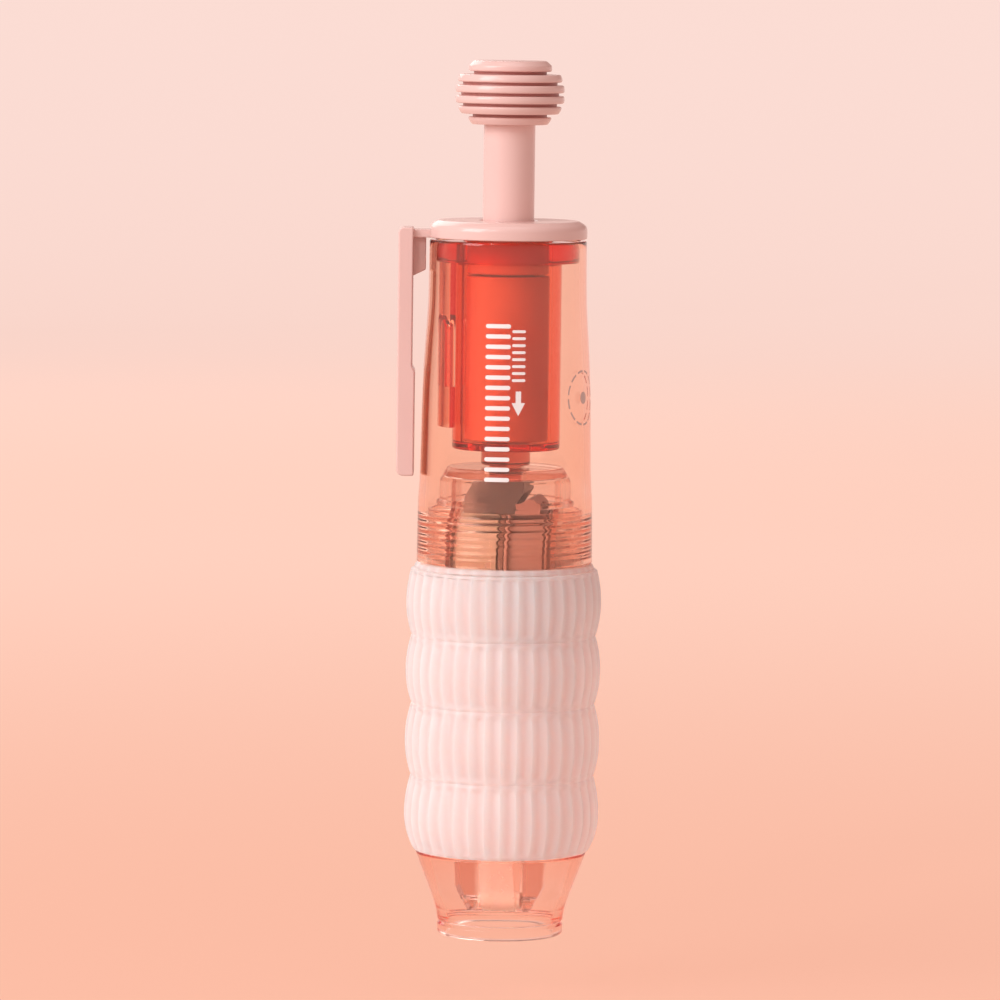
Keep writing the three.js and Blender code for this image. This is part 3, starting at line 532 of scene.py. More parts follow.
def helix(angle, height, lead=0.0):
    """A right-hand ridge from 0 to 1 round the neck, run out at both ends."""
    turns = (height - THREAD_LOW) / THREAD_PITCH
    wave = 0.5 + 0.5 * np.cos(TURN * (turns + lead) - angle)
    begun = np.clip(turns / THREAD_RUN_OUT, 0, 1)
    return wave * begun * np.clip((THREAD_TURNS - turns) / THREAD_RUN_OUT, 0, 1)


# ---------- outside ----------

BARREL_OUTLINE = [
    (13.05, BARREL_LOW), (12.95, 64), (12.7, 69), (12.5, 80), (12.2, 87), (11.75, 94.5),
    (11.65, BARREL_HIGH),
]
BARREL_WALL, GROOVE_DEPTH = 1.0, 0.11


def barrel_radius(height):
    rising = np.array(BARREL_OUTLINE)
    return np.interp(height, rising[:, 1], rising[:, 0])


def barrel_shell():
    outside = curved(BARREL_OUTLINE, 8)
    inside = [(r - BARREL_WALL, z) for r, z in reversed(outside)]
    lip, groove_top, groove_low = 0.22, 64.1, 56.0
    smooth = [point for point in inside[1:-1] if point[1] > groove_top + 0.1]
    rows = np.arange(groove_top, groove_low, -THREAD_STEP)
    grooved = [(barrel_radius(z) - BARREL_WALL, z) for z in rows]
    corners = [(*outside[0], lip), *outside[1:-1], (*outside[-1], lip), (*inside[0], lip), *smooth, *grooved]
    return lathe("barrel_shell", rounded([*corners, (*inside[-1], lip)], 4), FINE_SIDES, inner_thread)


def inner_thread(radius, angle, height):
    """Cuts the grooves for the neck's thread into the wall."""
    wall = (radius < barrel_radius(height) - BARREL_WALL + 0.05) & (radius > 11)
    return radius + np.where(wall, GROOVE_DEPTH * helix(angle, height, 0.5), 0)


TONGUE_END, TONGUE_HALF, TONGUE_LOW, TONGUE_HIGH = -9.7, 2.0, 103.8, 105.0  # the clip's hold in the cap


def end_cap():
    low, high = heights("end_cap")
    under, radius, bore, boss = BARREL_HIGH + GAP, 11.7, 4.15, 6.1
    disc = lathe("cap_disc", rounded([
        (bore, low, 0.2), (boss, low, 0.3), (boss, under, 0.25), (radius, under, 0.2),
        (radius, high - 0.75, 1.1), (radius - 1.25, high, 1.0), (bore, high, 0.3),
    ], 7), FINE_SIDES)
    half, across = TONGUE_HALF + GAP, (span("pocket_clip")[0].x - AXIS_X, TONGUE_END + GAP)
    return cut(disc, block("slot", across, (-half, half), (BARREL_HIGH, TONGUE_HIGH + GAP)))


def pocket_clip():
    low, high = span("pocket_clip")
    outer, half = low.x - AXIS_X, 3.0
    inner, pad, pad_top, taper = outer + 2.2, outer + 2.6, 84.0, 0.8
    bar = prism("clip_bar", rounded([
        (outer, low.z, 1.0), (pad, low.z, 0.35), (pad, pad_top, 0.8), (inner, pad_top + taper, 0.8),
        (inner, high.z, 0.25), (outer, high.z, 0.7),
    ], 5), -half, half, "y")
    bevelled(bar, 0.42, 4, 50)
    root, web_end, web_top, web_half = inner - 0.4, -12.15, TONGUE_LOW + 0.3, 0.8
    depth, height = (-TONGUE_HALF, TONGUE_HALF), (TONGUE_LOW, TONGUE_HIGH)
    tongue = block("tongue", (root, TONGUE_END), depth, height, 0.15)
    web = [(root, 97.9), (web_end, 99.0), (web_end, web_top), (root, web_top)]
    return joined(bar, tongue, prism("gusset", web, -web_half, web_half, "y", 0.18))


def press_knob():
    """The ringed knob, and a deep rose core in its grooves, as painted shade that darkens them."""
    low, high = heights("press_knob")
    rings = [(5.6, 6.25), (7.2, 7.7), (7.95, 8.0), (8.0, 7.95), (7.75, 7.45), (6.15, 5.35)]
    pitch, groove, depth, crown, edge = (high - low) / len(rings), 0.46, 0.8, 0.08, 0.25
    socket, floor, core_bore, overlap = 3.0, 125.9, 3.6, 0.1
    corners = [(0, floor), (socket, floor), (socket, low + 0.1), (socket + 0.2, low)]
    # The core's deep rose, seen in the grooves, is painted shade.
    core = [(core_bore, low + 1)]
    for ring, (below, above) in enumerate(rings):
        bottom, top = low + ring * pitch, low + (ring + 1) * pitch - groove
        if ring == len(rings) - 1:
            corners += [(below, bottom, edge), (below, high - 0.75, 0.5), (above, high, 0.6), (0, high)]
            break
        inner = min(above, rings[ring + 1][0]) - depth
        middle = ((below + above) / 2 + crown, (bottom + top) / 2, 1.2)
        corners += [(below, bottom, edge), middle, (above, top, edge)]
        corners += [(inner, top, 0.1), (inner, top + groove, 0.1)]
        core += [(inner + 0.04, top - overlap), (inner + 0.04, top + groove + overlap)]
    core += [(core_bore, core[-1][1])]
    return lathe("knob_rings", rounded(corners)), lathe("knob_groove_shade", core)


def push_rod():
    low, high = heights("push_rod")
    collar_top, radius, collar, spigot = 98.3, 3.8, 5.0, 2.7
    rod_top = span("press_knob")[0].z - 0.02
    rod = lathe("plunger_rod", rounded([
        (0, low), (collar, low, 0.25), (collar, collar_top, 0.3), (radius, collar_top, 0.25),
        (radius, rod_top, 0.1), (spigot, rod_top, 0.15), (spigot, high, 0.3), (0, high),
    ]), SMALL_SIDES)
    return cut(rod, crown_notches(low))


def crown_notches(height, arms=8, half=0.55, reach=6.0):
    """A star that cuts slots across the end of a rod or ring."""
    meet = half / math.tan(math.pi / arms)
    outline = []
    for arm in range(arms):
        cosine, sine = math.cos(arm * TURN / arms), math.sin(arm * TURN / arms)
        for along, across in ((meet, -half), (reach, -half), (reach, half)):
            outline.append((along * cosine - across * sine, along * sine + across * cosine))
    return prism("notches", outline, height - half, height + half, "z")


# ---------- click mechanism ----------


def guide_sleeve():
    """The deep coral sleeve, with the side panel and its snap tongue, cut free by an arched slit."""
    low, high = heights("plunger_guide")
    hole, outer, bore, flange, flange_low, floor = 3.95, 8.0, 6.5, 10.6, 100.3, low + 1
    sleeve = lathe("guide_sleeve", rounded([
        (hole, low, 0.15), (outer, low, 0.35), (outer, flange_low, 0.4), (flange, flange_low, 0.3),
        (flange, high, 0.25), (bore, high, 0.25), (bore, floor, 0.2), (hole, floor, 0.15),
    ], 4))
    panel_in, panel_out, panel_low, half = 9.3, 10.2, 76.0, math.radians(37)
    ends = (CLIP_SIDE - half, CLIP_SIDE + half)
    rim = arc(panel_out, *ends, 28) + arc(panel_in, *ends[::-1], 28)
    panel = prism("panel", rim, panel_low, flange_low + 0.2, "z")
    snap, snap_low, snap_high, snap_turn = 1.7, 82.0, 92.6, math.radians(20)
    wide = snap + 0.6
    centre = (0, snap_high - wide)
    slit = [(-wide, snap_low), *arc(wide, math.pi, 0, 13, centre), (wide, snap_low)]
    slit += [(snap, snap_low), *arc(snap, 0, math.pi, 13, centre), (-snap, snap_low)]
    leg = prism("leg", slit, -panel_out - 1, -panel_in + 2, "x")
    leg.data.transform(Matrix.Rotation(snap_turn, 4, "Z"))
    return joined(sleeve, cut(panel, leg))


def cam_housing():
    low, high = heights("cam_housing")
    hole, outer, bore, floor = 2.7, 6.2, 5.3, low + 1
    return lathe("cam_tube", rounded([
        (hole, low, 0.15), (outer, low, 0.4), (outer, high, 0.25), (bore, high, 0.15), (bore, floor, 0.2),
        (hole, floor, 0.15),
    ]), SMALL_SIDES)


def return_spring():
    low, high = heights("return_spring")
    return coil("return_coil", radius=3.7, wire=0.3, turns=7.5, low=low, high=high)


def click_rotor(ribs=4):
    low, high = heights("click_rotor")
    inner, outer, rib_end, half = 2.5, 4.6, 5.0, 0.55
    ring = lathe("rotor_ring", soft_rectangle((inner, low), (outer, high), 0.15), SMALL_SIDES)
    spokes = []
    for rib in range(ribs):
        bar = block("rib", (outer - 0.4, rib_end), (-half, half), (low, high))
        bar.data.transform(Matrix.Rotation((rib + 0.25) * TURN / ribs, 4, "Z"))
        spokes.append(bar)
    return cut(joined(ring, *spokes), crown_notches(high))


# ---------- tape carriage ----------


def carriage_stem():
    low, high = heights("carriage_stem")
    shaft, tip = 2.4, 2.2
    collar, collar_low, collar_high = 3.65, 70.2, 73.6
    seat, seat_low, seat_high = 4.6, 91.7, 92.5
    return lathe("stem_post", rounded([
        (0, low), (shaft, low, 0.3), (shaft, collar_low, 0.2), (collar, collar_low, 0.25),
        (collar, collar_high, 0.25), (shaft, collar_high, 0.2), (shaft, seat_low, 0.2),
        (seat, seat_low, 0.15), (seat, seat_high, 0.15), (tip, seat_high, 0.15), (tip, high, 0.4), (0, high),
    ]), SMALL_SIDES)


def carriage_cap():
    low, high = heights("carriage_cap")
    inner, wall, rim, hole, step, roof = 8.75, 9.75, 10.2, 2.7, 65.1, 68.4
    return lathe("carriage_lid", rounded([
        (inner, low, 0.15), (rim, low, 0.2), (rim, step - 0.25, 0.2), (wall, step, 0.15),
        (wall, roof - 0.5, 0.5), (inner - 0.15, high, 0.35), (hole, high, 0.15), (hole, roof, 0.15),
        (inner, roof, 0.4),
    ]))


def saddle_parts():
    """The dark saddle over the reels, and the low lug beside it, as two close pieces."""
    left, right, top, half, stem_bore, stem_seat = -5.8, 3.6, 68.1, 5.0, 2.7, 66.1
    saddle = [
        (left, REEL_Z), (2.2, REEL_Z), (2.3, 64.4, 0.6), (right, 66.4, 0.6), (right, top, 0.5),
        (1.6, top, 0.6), (0.9, top - 0.5, 0.4), (-0.9, top - 0.1, 0.6), (left + 2, top - 0.2, 0.6),
        (left + 0.7, 65.7, 0.6),
    ]
    lug = [(2.25, REEL_Z), (6.0, REEL_Z), (6.0, 64.4, 0.8), (4.6, 65.8, 1.0), (2.35, 64.3, 0.5)]
    parts = []
    for name, outline, steps in (("saddle_block", saddle, 4), ("saddle_lug", lug, 5)):
        body = prism(name, rounded(outline, steps), -half, half, "y")
        reels = turned_x(pin("reels", REEL_R + GAP, -9, 9, 0.1, SMALL_SIDES), 0, REEL_Z)
        socket = lathe("socket", rectangle((0, stem_seat), (stem_bore, 70)), 48)
        parts.append(bevelled(cut(body, reels, socket), 0.16, 2, 40))
    return parts


WAIST = 3.2  # half the carriage's width under the reels
YOKE_LOW, YOKE_HIGH = 45.4, 46.9


def cheek_outline(foot):
    """A cheek of the carriage seen from its side: the neck, the width of the reels, the waist and a foot."""
    neck, wide, top = 2.4, 6, 67.9
    half = [(neck, top, 0.3), (neck, 63.9, 0.6), (wide, 61.2, 1.2), (wide, 51.2, 1.2), (WAIST, 47.2, 0.4)]
    half += foot
    return rounded([*half, *[(-y, z, r) for y, z, r in reversed(half)]], 4)


def carriage_frame():
    """The left cheek, a yoke under the reels, and a fork of two rails that end in prongs."""
    cheek = prism("fork_frame", cheek_outline([(WAIST, YOKE_LOW, 0.2)]), -7.6, -7.0, "x")
    parts = [block("yoke", (-7.5, 8.3), (-WAIST, WAIST), (YOKE_LOW, YOKE_HIGH))]
    fork, rail_out, prong_low, prong_top, rail_half, prong_half = 3.6, 4.8, 3.6, 16, 1.6, 1.9
    rail = rectangle((fork, prong_top - 0.2), (rail_out, YOKE_LOW + 0.2))
    prong = rounded([
        (fork, prong_low, 0.3), (4.6, prong_low, 0.4), (6.4, 7.5, 0.8), (6.6, 11, 1.2),
        (rail_out, prong_top), (fork, prong_top),
    ], 4)
    for side in (-1, 1):
        for name, outline, half in (("rail", rail, rail_half), ("prong", prong, prong_half)):
            parts.append(prism(name, [(side * x, z) for x, z in outline], -half, half, "y"))
    ear_half, ear_low, brace_end, brace_half = 6.2, 42.6, 3.8, 0.6
    for ear in ((-7, -6.2), (6.6, 7.4)):
        parts.append(block("ear", ear, (-ear_half, ear_half), (ear_low, YOKE_HIGH)))
    for z in (24, 38):
        height = (z, z + 2 * brace_half)
        parts.append(block("brace", (-brace_end, brace_end), (-brace_half, brace_half), height))
    pins = [(BORE_R, 0, REEL_Z), (ROLLER_PIN_R + GAP, 0, HEAD_Z)]
    pins += [(GUIDE_R + GAP, y, GUIDE_Z) for y in (GUIDE_Y, -GUIDE_Y)]
    holes = [turned_x(pin("hole", radius, -10, 10, 0.01, 32), y, z) for radius, y, z in pins]
    return bevelled(cut(joined(cheek, *parts), *holes), 0.12, 2, 40)


def carriage_cover():
    plate = prism("cover_plate", cheek_outline([]), 7.6, 8.3, "x")
    hole = turned_x(pin("hole", BORE_R, 5, 10, 0.01), 0, REEL_Z)
    return bevelled(cut(plate, hole), 0.12, 2, 40)


def guide_pin(name, side):
    return turned_x(pin(name, GUIDE_R, -7, 7.4), side * GUIDE_Y, GUIDE_Z)


# ---------- reels, turned about Z and laid on the axle with AXLE ----------


def supply_spool():
    """A flange and a hub. The ratchet disc is the other flange."""
    left, flange, right, hub, step, edge = -6.55, -6.05, 0, 3.2, -0.4, 3.45
    return lathe("supply_bobbin", rounded([
        (BORE_R, left, 0.1), (REEL_R, left, 0.18), (REEL_R, flange, 0.18), (hub, flange, 0.3),
        (hub, step, 0.1), (edge, step, 0.05), (edge, right, 0.1), (BORE_R, right, 0.1),
    ]))


def tape_roll():
    """The wound tape: fine steps between its turns on both sides."""
    inner, outer, left, right, turns, seam, uneven = 3.5, 7.28, -5.95, -0.05, 24, 0.02, 0.05
    radii = np.linspace(inner, outer, turns + 1)
    draws = np.random.default_rng(7).uniform(0, uneven, (2, turns))
    lower, upper = [], []
    for i in range(turns):
        start, end = radii[i] + seam, radii[i + 1] - seam
        lower += [(start, left + draws[0, i]), (end, left + draws[0, i])]
        upper += [(start, right - draws[1, i]), (end, right - draws[1, i])]
    return lathe("tape_winding", [*lower, *reversed(upper)])


def liner_roll():
    inner, outer, left, right = 7.1, 7.45, 1.7, 6.7
    return lathe("liner_winding", rounded([
        (inner, left, 0.05), (outer, left, 0.08), (outer, right, 0.08), (inner, right, 0.05),
    ]))


def ratchet_disc():
    """A disc with slanted teeth all round, and a hollow on each side."""
    low, high, web_low, web_high, teeth, root, hub, rim = 0.35, 1.1, 0.55, 0.9, 36, 7.8, 3.0, 6.8
    tooth_shape = ((0, root), (0.1, root), (0.62, REEL_R), (0.8, REEL_R), (0.86, root))
    outline = []
    for tooth in range(teeth):
        for step, radius in tooth_shape:
            angle = (tooth + step) * TURN / teeth
            outline.append((radius * math.cos(angle), radius * math.sin(angle)))
    disc = prism("toothed_disc", outline, low, high, "z")
    hollows = []
    for bottom, top in ((0, web_low), (web_high, high + 0.6)):
        hollows.append(lathe("hollow", rectangle((hub, bottom), (rim, top)), SMALL_SIDES))
    bore = lathe("bore", rectangle((0, 0), (BORE_R, 2)), 48)
    return bevelled(cut(disc, *hollows, bore), 0.07, 2, 35)


def take_up_spool():
    """A thin flange, a drum with a rim, and a pocket for the clutch spring."""
    left, right, face, rim_left, pocket = 1.7, 7.3, 1.22, 7.0, 4.2
    hub, drum, flange, rim = 3.4, 6.8, 8.2, 7.6
    return lathe("take_up_bobbin", rounded([
        (BORE_R, left, 0.1), (hub, left, 0.1), (hub, face, 0.1), (flange, face, 0.12),
        (flange, left - 0.02, 0.1), (drum, left, 0.1), (drum, rim_left, 0.1), (rim, rim_left, 0.1),
        (rim, right, 0.1), (hub, right, 0.2), (hub, pocket, 0.2), (BORE_R, pocket, 0.1),
    ]))


def clutch_spring():
    return coil("clutch_coil", radius=2.45, wire=0.25, turns=3.5, low=4.5, high=7.3)


def reel_axle():
    left, shoulder, right, head, shaft = -8.6, -8.0, 8.1, 2.0, 1.2
    return lathe("reel_pin", rounded([
        (0, left), (head, left, 0.3), (head, shoulder, 0.15), (shaft, shoulder, 0.05), (shaft, right, 0.25),
        (0, right),
    ]), 64)


# ---------- tape head and the two runs of tape ----------

FILM = 0.2
RUN_R = ROLLER_R + GAP + FILM / 2
RUN_PIN_Y = GUIDE_Y + GUIDE_R + GAP + FILM / 2


def ribbon(name, middle, shift, width=5.0, slices=6):
    """A flat strip whose middle line is (y, z) points. It leans sideways by shift at its reel."""
    middle = np.array(middle)
    along = np.gradient(middle, axis=0)
    along /= np.linalg.norm(along, axis=1)[:, None]
    across = np.stack([-along[:, 1], along[:, 0]], -1) * FILM / 2
    share = np.clip((middle[:, 1] - HEAD_Z) / (REEL_Z - HEAD_Z), 0, None) * shift
    rows, wide = len(middle), slices + 1
    points = []
    for face in (middle + across, middle - across):
        for i in range(rows):
            points += [(x + share[i], *face[i]) for x in np.linspace(-width / 2, width / 2, wide)]
    other, last = rows * wide, (rows - 1) * wide
    faces = []
    for start in (0, other):
        for row in range(start, start + last, wide):
            faces += [(at, at + 1, at + 1 + wide, at + wide) for at in range(row, row + slices)]
    for row in range(0, last, wide):
        faces += [(at, at + wide, at + wide + other, at + other) for at in (row, row + slices)]
    for end in (0, last):
        faces += [(at, at + 1, at + 1 + other, at + other) for at in range(end, end + slices)]
    return raw(name, points, faces)


def straight(start, end, steps):
    return list(np.linspace(start, end, steps, endpoint=False))


def tape_run():
    """From the front of the supply reel, over its guide pin and round the head roller."""
    leave, lean = (-7.4, REEL_Z), -3.25
    guide, roller = (-RUN_PIN_Y, GUIDE_Z), (-RUN_R, HEAD_Z)
    middle = straight(leave, guide, 8) + straight(guide, roller, 24)
    return ribbon("tape_strip", middle + arc(RUN_R, math.pi, TURN, 17, (0, HEAD_Z)), lean)


def liner_run():
    """Back from the head roller, over its guide pin to the take-up reel."""
    arrive, lean = (7.85, REEL_Z), 4.2
    roller, guide = (RUN_R, HEAD_Z + GAP), (RUN_PIN_Y, GUIDE_Z)
    return ribbon("liner_strip", straight(roller, guide, 24) + straight(guide, arrive, 8) + [arrive], lean)


def head_roller():
    bore, half = ROLLER_PIN_R + GAP, 3.2
    tube = lathe("roller_tube", rounded([
        (bore, -half, 0.1), (ROLLER_R, -half, 0.25), (ROLLER_R, half, 0.25), (bore, half, 0.1),
    ]), 64)
    return turned_x(tube, 0, HEAD_Z)


def roller_pin():
    return turned_x(pin("roller_axle", ROLLER_PIN_R, -4.5, 4.5), 0, HEAD_Z)


# ---------- front ----------

NOSE = [(9.35, 2.2), (9.65, 4), (10.45, 6.3), (11.6, 9.3), (12.7, 12.3)]
NECK_R, THREAD_DEPTH = 11.45, 0.17


def threaded(radius, angle, height):
    """Raises the thread on the neck."""
    return radius + np.where(radius > NECK_R - 0.05, THREAD_DEPTH * helix(angle, height), 0)


def lower_body():
    """The nose rim, the groove over it, the cone, the tube under the grip and the threaded neck."""
    mouth, rim, groove, bore, tube, tube_top, neck_top = 8.0, 9.35, 8.85, 10.85, 12.0, 54.6, 63.7
    cone = curved(NOSE, 6)
    shoulder = NOSE[-1][1]
    rows = np.arange(THREAD_LOW - 0.1, THREAD_LOW + THREAD_TURNS * THREAD_PITCH + 0.1, THREAD_STEP)
    outside = [
        (mouth, 0, 0.45), (rim, 0, 0.5), (rim, 1.5, 0.25), (groove, 2, 0.15), *cone[:-1],
        (*cone[-1], 0.15), (tube, shoulder, 0.2), (tube, tube_top, 0.2), (NECK_R, tube_top, 0.15),
        *[(NECK_R, z) for z in rows], (NECK_R, neck_top, 0.25),
    ]
    inside = [(bore, neck_top, 0.2), (bore, shoulder + 0.3, 3), (9.2, 6.3, 2.5), (8.4, 4, 0.8)]
    return lathe("clear_body", rounded([*outside, *inside, (mouth, 2.2, 0.5)]), FINE_SIDES, threaded)


def neck_washer():
    low, high = heights("neck_washer")
    bottom, top, inner, outer, outer_top = low - 0.2, high + 0.1, 11.75, 13.5, 13.1
    return lathe("neck_ring", rounded([
        (inner, bottom, 0.12), (outer, bottom, 0.25), (outer_top, top, 0.35), (inner, top, 0.12),
    ]))


GRIP_ENDS = [(12.9, 12.6), (13.55, 23.8), (13.55, 34.6), (13.6, 44.8), (13.8, 54.6)]
GRIP_BULGE_R, FLUTE_DEPTH = 14.55, 0.45


def fluted(radius, angle, height):
    """Hollows between the ridges, fading out at the pinches and the ends."""
    share = ((angle - FIRST_RIDGE) * FLUTES / TURN) % 1
    hollow = 1 - np.abs(2 * share - 1) ** 1.7
    fade = np.ones_like(height)
    for _, pinch in GRIP_ENDS[:-1]:
        fade = np.minimum(fade, np.clip((np.abs(height - pinch) - 0.3) / 0.8, 0, 1))
    fade = np.minimum(fade, np.clip((GRIP_ENDS[-1][1] - height - 0.3) / 0.3, 0, 1))
    fade = fade * fade * (3 - 2 * fade)
    return radius - np.where(radius > 12.6, FLUTE_DEPTH * hollow * fade, 0)


def grip_sleeve():
    bore, chamfer, rows = 12.3, 0.15, 26
    (foot_r, foot), (top_r, top) = GRIP_ENDS[0], GRIP_ENDS[-1]
    outline = [(bore, foot + chamfer), (bore + chamfer, foot), (foot_r - 0.2, foot)]
    for (low_r, low), (high_r, high) in zip(GRIP_ENDS, GRIP_ENDS[1:]):
        first = 0 if low == foot else 1
        for share in (1 - np.cos(np.linspace(0, math.pi, rows + 1)[first:])) / 2:
            end = low_r if share < 0.5 else high_r
            swell = max(0.0, math.sin(math.pi * share)) ** 0.72
            outline.append((end + (GRIP_BULGE_R - end) * swell, low + (high - low) * share))
    outline += [(top_r - 0.25, top), (bore + chamfer, top), (bore, top - chamfer)]
    return lathe("ribbed_grip", outline, FLUTES * 12, fluted)


# ---------- printing on the barrel ----------


def printed(name, outlines, side, thick=0.03, step=0.35):
    """Flat shapes, each a list of (across, height) points, wrapped on the barrel at that side of it."""
    shape = bmesh.new()
    for outline in outlines:
        shape.faces.new([shape.verts.new((u, 0, v)) for u, v in outline])
    wide = max(abs(u) for outline in outlines for u, _ in outline)
    for u in np.arange(-wide, wide, step):
        everything = [*shape.verts, *shape.edges, *shape.faces]
        bmesh.ops.bisect_plane(shape, geom=everything, plane_co=(u, 0, 0), plane_no=(1, 0, 0))
    bmesh.ops.recalc_face_normals(shape, faces=shape.faces)
    solid = bmesh.ops.extrude_face_region(shape, geom=list(shape.faces))
    for vert in (v for v in solid["geom"] if isinstance(v, bmesh.types.BMVert)):
        vert.co.y = -thick
    for vert in shape.verts:
        u, lift, height = vert.co
        surface = float(barrel_radius(height))
        radius, angle = surface + 0.01 - lift, side + u / surface
        vert.co = (radius * math.cos(angle), radius * math.sin(angle), height)
    bmesh.ops.recalc_face_normals(shape, faces=shape.faces)
    mesh = bpy.data.meshes.new(name)
    shape.to_mesh(mesh)
    shape.free()
    return linked(name, mesh)


def bars(count, across, lowest, pitch, wide, high, radius):
    """A column of bars with round corners."""
    column = []
    for i in range(count):
        height = lowest + i * pitch
        low, top = (across - wide / 2, height - high / 2), (across + wide / 2, height + high / 2)
        column.append([tuple(point) for point in soft_rectangle(low, top, radius)])
    return column


def print_marks():
    """A column of plain bars, a column of short bars and a plain arrow towards the nose."""
    across, tail, neck, tip, shaft, head = 1.75, 81.9, 80.2, 78.3, 0.4, 1.0
    half = [(shaft, tail), (shaft, neck), (head, neck)]
    arrow = [*[(-u, v) for u, v in half], (0, tip), *half[::-1]]
    shapes = bars(16, -1.3, 68.9, 1.5, 3.7, 0.62, 0.28) + bars(8, across, 83.5, 1.02, 2.0, 0.42, 0.19)
    return printed("front_marks", [*shapes, [(across + u, v) for u, v in arrow]], FRONT)


def side_mark():
    """A plain ring of short dashes on the side, with a dot in it."""
    centre, outer, inner, dot, dashes, drawn = (0, 80.6), 4.1, 3.8, 0.9, 12, 0.72
    shapes = []
    for i in range(dashes):
        start, end = i * TURN / dashes, (i + drawn) * TURN / dashes
        shapes.append(arc(outer, start, end, 6, centre) + arc(inner, end, start, 6, centre))
    shapes.append(arc(dot, 0, TURN, 24, centre, endpoint=False))
    return printed("side_mark", shapes, FRONT + math.radians(65))


# ---------- the pieces in the frame ----------

add(barrel_shell(), "clear_coral", "barrel", "clear_coral", "barrel")
add(end_cap(), "pink", "barrel", "pink_plastic", "end_cap")
add(guide_sleeve(), "deep_coral", "barrel", "deep_coral", "plunger_guide")
add(cam_housing(), "housing", "barrel", "pink_plastic", "cam_housing")
spring = add(return_spring(), "steel", "barrel", "steel", "return_spring", weighted=False)
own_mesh(spring)
add(print_marks(), "ink", "barrel", "pink_plastic", weighted=False)
add(side_mark(), "grey_ink", "barrel", "dark_plastic", weighted=False)
add(pocket_clip(), "pink", "clip", "pink_plastic", "pocket_clip")
# The knob's second piece, its core, is painted shade in the grooves.
for part, finish in zip(press_knob(), ("pink", "groove_shade_rose")):
    add(part, finish, "button", "pink_plastic", "press_knob")
add(push_rod(), "pink", "button", "pink_plastic", "push_rod")
add(click_rotor(), "dark", "rotor", "dark_plastic", "click_rotor")

saddle, lug = saddle_parts()
for part, finish, slot, node in (
    (carriage_stem(), "stem_coral", "deep_coral", "carriage_stem"),
    (carriage_cap(), "clear_rose", "clear_rose", "carriage_cap"),
    (saddle, "saddle", "dark_plastic", "reel_saddle"),
    (lug, "lug", "dark_plastic", "reel_saddle"),
    (carriage_frame(), "rose_frame", "clear_rose", "carriage_frame"),
    (carriage_cover(), "clear_rose", "clear_rose", "carriage_cover"),
    (guide_pin("guide_pin_front", -1), "steel", "steel", "front_guide_pin"),
    (guide_pin("guide_pin_rear", 1), "steel", "steel", "rear_guide_pin"),
    (roller_pin(), "pin", "steel", "roller_pin"),
):
    add(part, finish, "carriage", slot, node, place=CARRIAGE)
add(tape_run(), "tape", "carriage", "kraft_tape", "tape_run", place=CARRIAGE, weighted=False)
add(liner_run(), "liner", "carriage", "liner_paper", "liner_run", place=CARRIAGE, weighted=False)
add(head_roller(), "rubber", "roller", "roller_rubber", "head_roller", place=CARRIAGE)

for part, finish, body, slot, node in (
    (supply_spool(), "clear_rose", "supply_reel", "clear_rose", "supply_spool"),
    (ratchet_disc(), "dark", "supply_reel", "dark_plastic", "ratchet_disc"),
    (reel_axle(), "steel", "supply_reel", "steel", "reel_axle"),
    (take_up_spool(), "coral", "take_up_reel", "coral_plastic", "take_up_spool"),
    (liner_roll(), "liner_roll", "take_up_reel", "liner_paper", "liner_roll"),
):
    add(part, finish, body, slot, node, place=AXLE)
add(tape_roll(), "tape_roll", "supply_reel", "kraft_tape", "tape_roll", place=AXLE, weighted=False)
add(clutch_spring(), "steel", "take_up_reel", "steel", "clutch_spring", place=AXLE, weighted=False)

add(lower_body(), "pale_coral", "front", "clear_coral", "lower_body")
add(grip_sleeve(), "silicone", "front", "silicone", "grip_sleeve", weighted=False)
add(neck_washer(), "silicone", "washer", "silicone", "neck_washer")

# ---------- stage, light and camera ----------


def backdrop():
    """A round floor that sweeps up into a wall, low enough for the unscrewed front to stay clear of it."""
    floor, sweep, wall, drop, sides = 1.5, 1.2, 4.5, 0.009, 96
    line = [(r, 0.0) for r in (0.0, 0.05, 0.1, 0.2, 0.4, 0.8, floor)]
    line += arc(sweep, 0.1 - math.pi / 2, 0, 14, (floor, sweep))
    line.append((floor + sweep, wall))
    rings = [[(x, y, z - drop) for x, y in arc(r, 0, TURN, sides, endpoint=False)] for r, z in line]
    return raw("backdrop", np.reshape(rings, (-1, 3)), ring_faces(len(line), sides))


def backdrop_finish(stops, ambient, glow, paper):
    """Paper that mostly glows. stops: metres from the pen and the colour there. Matt surfaces get ambient."""
    reach = 3
    made = Finish("glowing_peach_backdrop").set(IOR=1.3)
    length = made.node("ShaderNodeVectorMath", {0: made.place}, operation="LENGTH").outputs["Value"]
    ramp = made.node("ShaderNodeValToRGB", {"Fac": made.spread(length, 0, 1, 0, reach)})
    ramp.color_ramp.interpolation = "EASE"
    colours = ramp.color_ramp.elements
    while len(colours) < len(stops):
        colours.new(0.5)
    for colour, (distance, shade) in zip(colours, stops):
        colour.position, colour.color = distance / reach, (*shade, 1)
    colour = ramp.outputs["Color"]
    dimmed = made.node("ShaderNodeVectorMath", {0: colour, "Scale": paper}, operation="SCALE")
    made.feed(dimmed.outputs[0], "Base Color")
    diffuse = made.node("ShaderNodeLightPath").outputs["Is Diffuse Ray"]
    made.feed(made.mixed(diffuse, colour, ambient), "Emission Color")
    made.set(Emission_Strength=glow, Roughness=0.9, Specular_IOR_Level=0.0)
    return made.bumped(made.noise(700, 3), 0.05, 0.05)


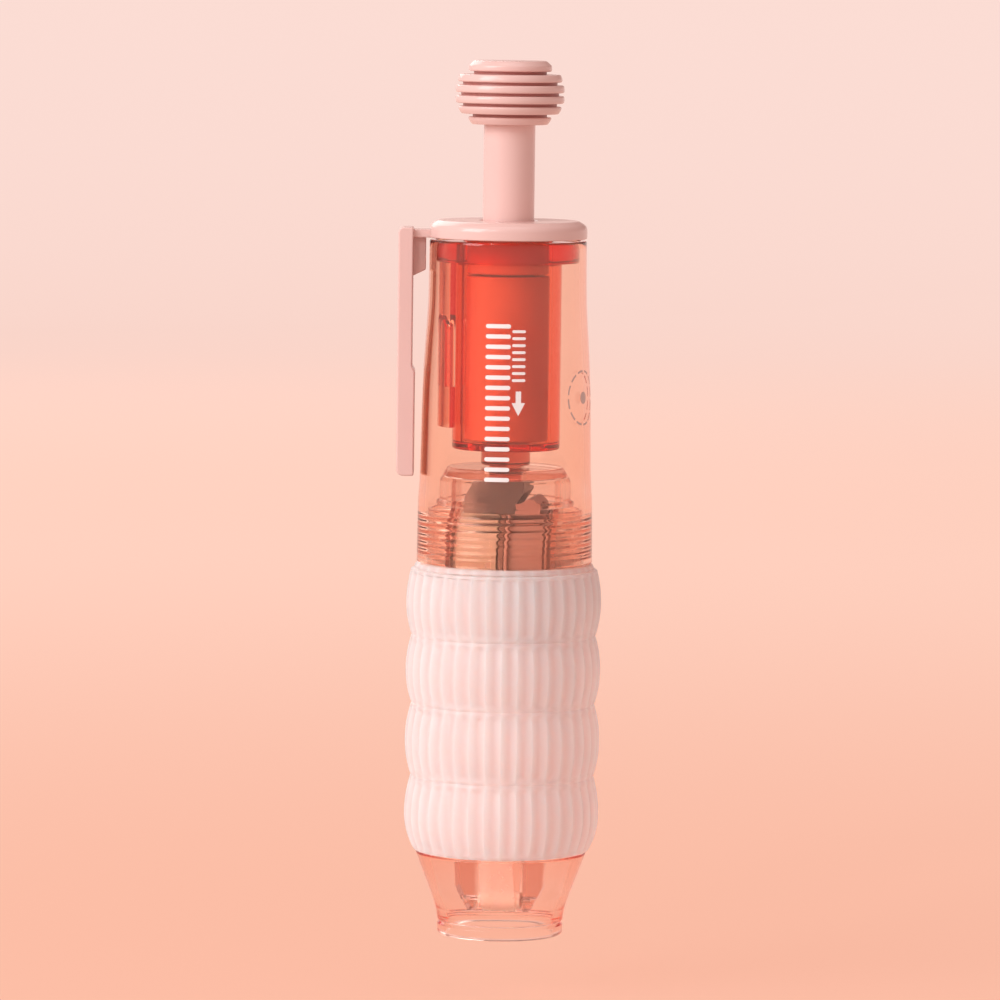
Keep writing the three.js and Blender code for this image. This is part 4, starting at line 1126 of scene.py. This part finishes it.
def area_light(name, azimuth, elevation, distance, size, power, colour):
    """A soft box aimed at the pen. Azimuth 0 is behind the camera, and grows towards the viewer's right."""
    data = bpy.data.lights.new(name, "AREA")
    data.shape, data.size, data.size_y = "RECTANGLE", size[0], size[1]
    data.energy, data.color = power, colour
    lamp = linked(name, data)
    a, e = math.radians(azimuth), math.radians(elevation)
    way = Vector((math.sin(a) * math.cos(e), -math.cos(a) * math.cos(e), math.sin(e)))
    lamp.location = Vector((0, 0, 0.065)) + way * distance
    lamp.rotation_mode = "QUATERNION"
    lamp.rotation_quaternion = way.to_track_quat("Z", "Y")


scene = bpy.context.scene
floor = backdrop()
# The stops set the backdrop's glow: deep peach near the pen, pale further out, and dim at the top of the
# wall, which keeps light off the pen from above.
floor.data.materials.append(backdrop_finish([
    (0.0, (0.84, 0.451, 0.334)), (0.735, (0.89, 0.578, 0.477)), (2.15, (0.93, 0.716, 0.66)),
    (2.7, (0.36, 0.22, 0.19)),
], ambient=(0.56, 0.44, 0.415), glow=0.905, paper=0.25).material)

world = bpy.data.worlds.new("studio")
world.use_nodes = True
background = world.node_tree.nodes["Background"]
background.inputs["Color"].default_value = (1.0, 0.5, 0.4, 1)
background.inputs["Strength"].default_value = 0.3
scene.world = world

area_light("key", -55, 28, 1.2, (0.7, 0.9), 10.5, (0.93, 0.98, 1.0))
area_light("glint", -24, 32, 1.3, (0.12, 0.12), 1.4, (1.0, 1.0, 1.0))
area_light("top", 0, 80, 1.0, (0.6, 0.6), 1.2, (1.0, 0.98, 0.97))
area_light("back", -160, 28, 1.3, (0.8, 0.8), 3.5, (1.0, 0.98, 0.96))

optics = bpy.data.cameras.new("camera")
optics.sensor_width, optics.lens = 36, 224.7
optics.clip_start, optics.clip_end = 0.05, 50
camera = linked("camera", optics)
elevation, lean = math.radians(5), math.radians(0.72)
distance, target = 0.9273, Vector((AXIS_X - 0.75, 0, 64.85)) * MM  # the middle of the photograph
back = Vector((0, -math.cos(elevation), math.sin(elevation)))
camera.location = target + back * distance
camera.rotation_mode = "QUATERNION"
camera.rotation_quaternion = back.to_track_quat("Z", "Y") @ Quaternion((0, 0, 1), lean)
scene.camera = camera

scene.view_settings.view_transform = "Standard"
scene.cycles.max_bounces = 40
scene.cycles.transmission_bounces = 36
scene.cycles.glossy_bounces = 36
scene.cycles.transparent_max_bounces = 32
scene.cycles.diffuse_bounces = 5
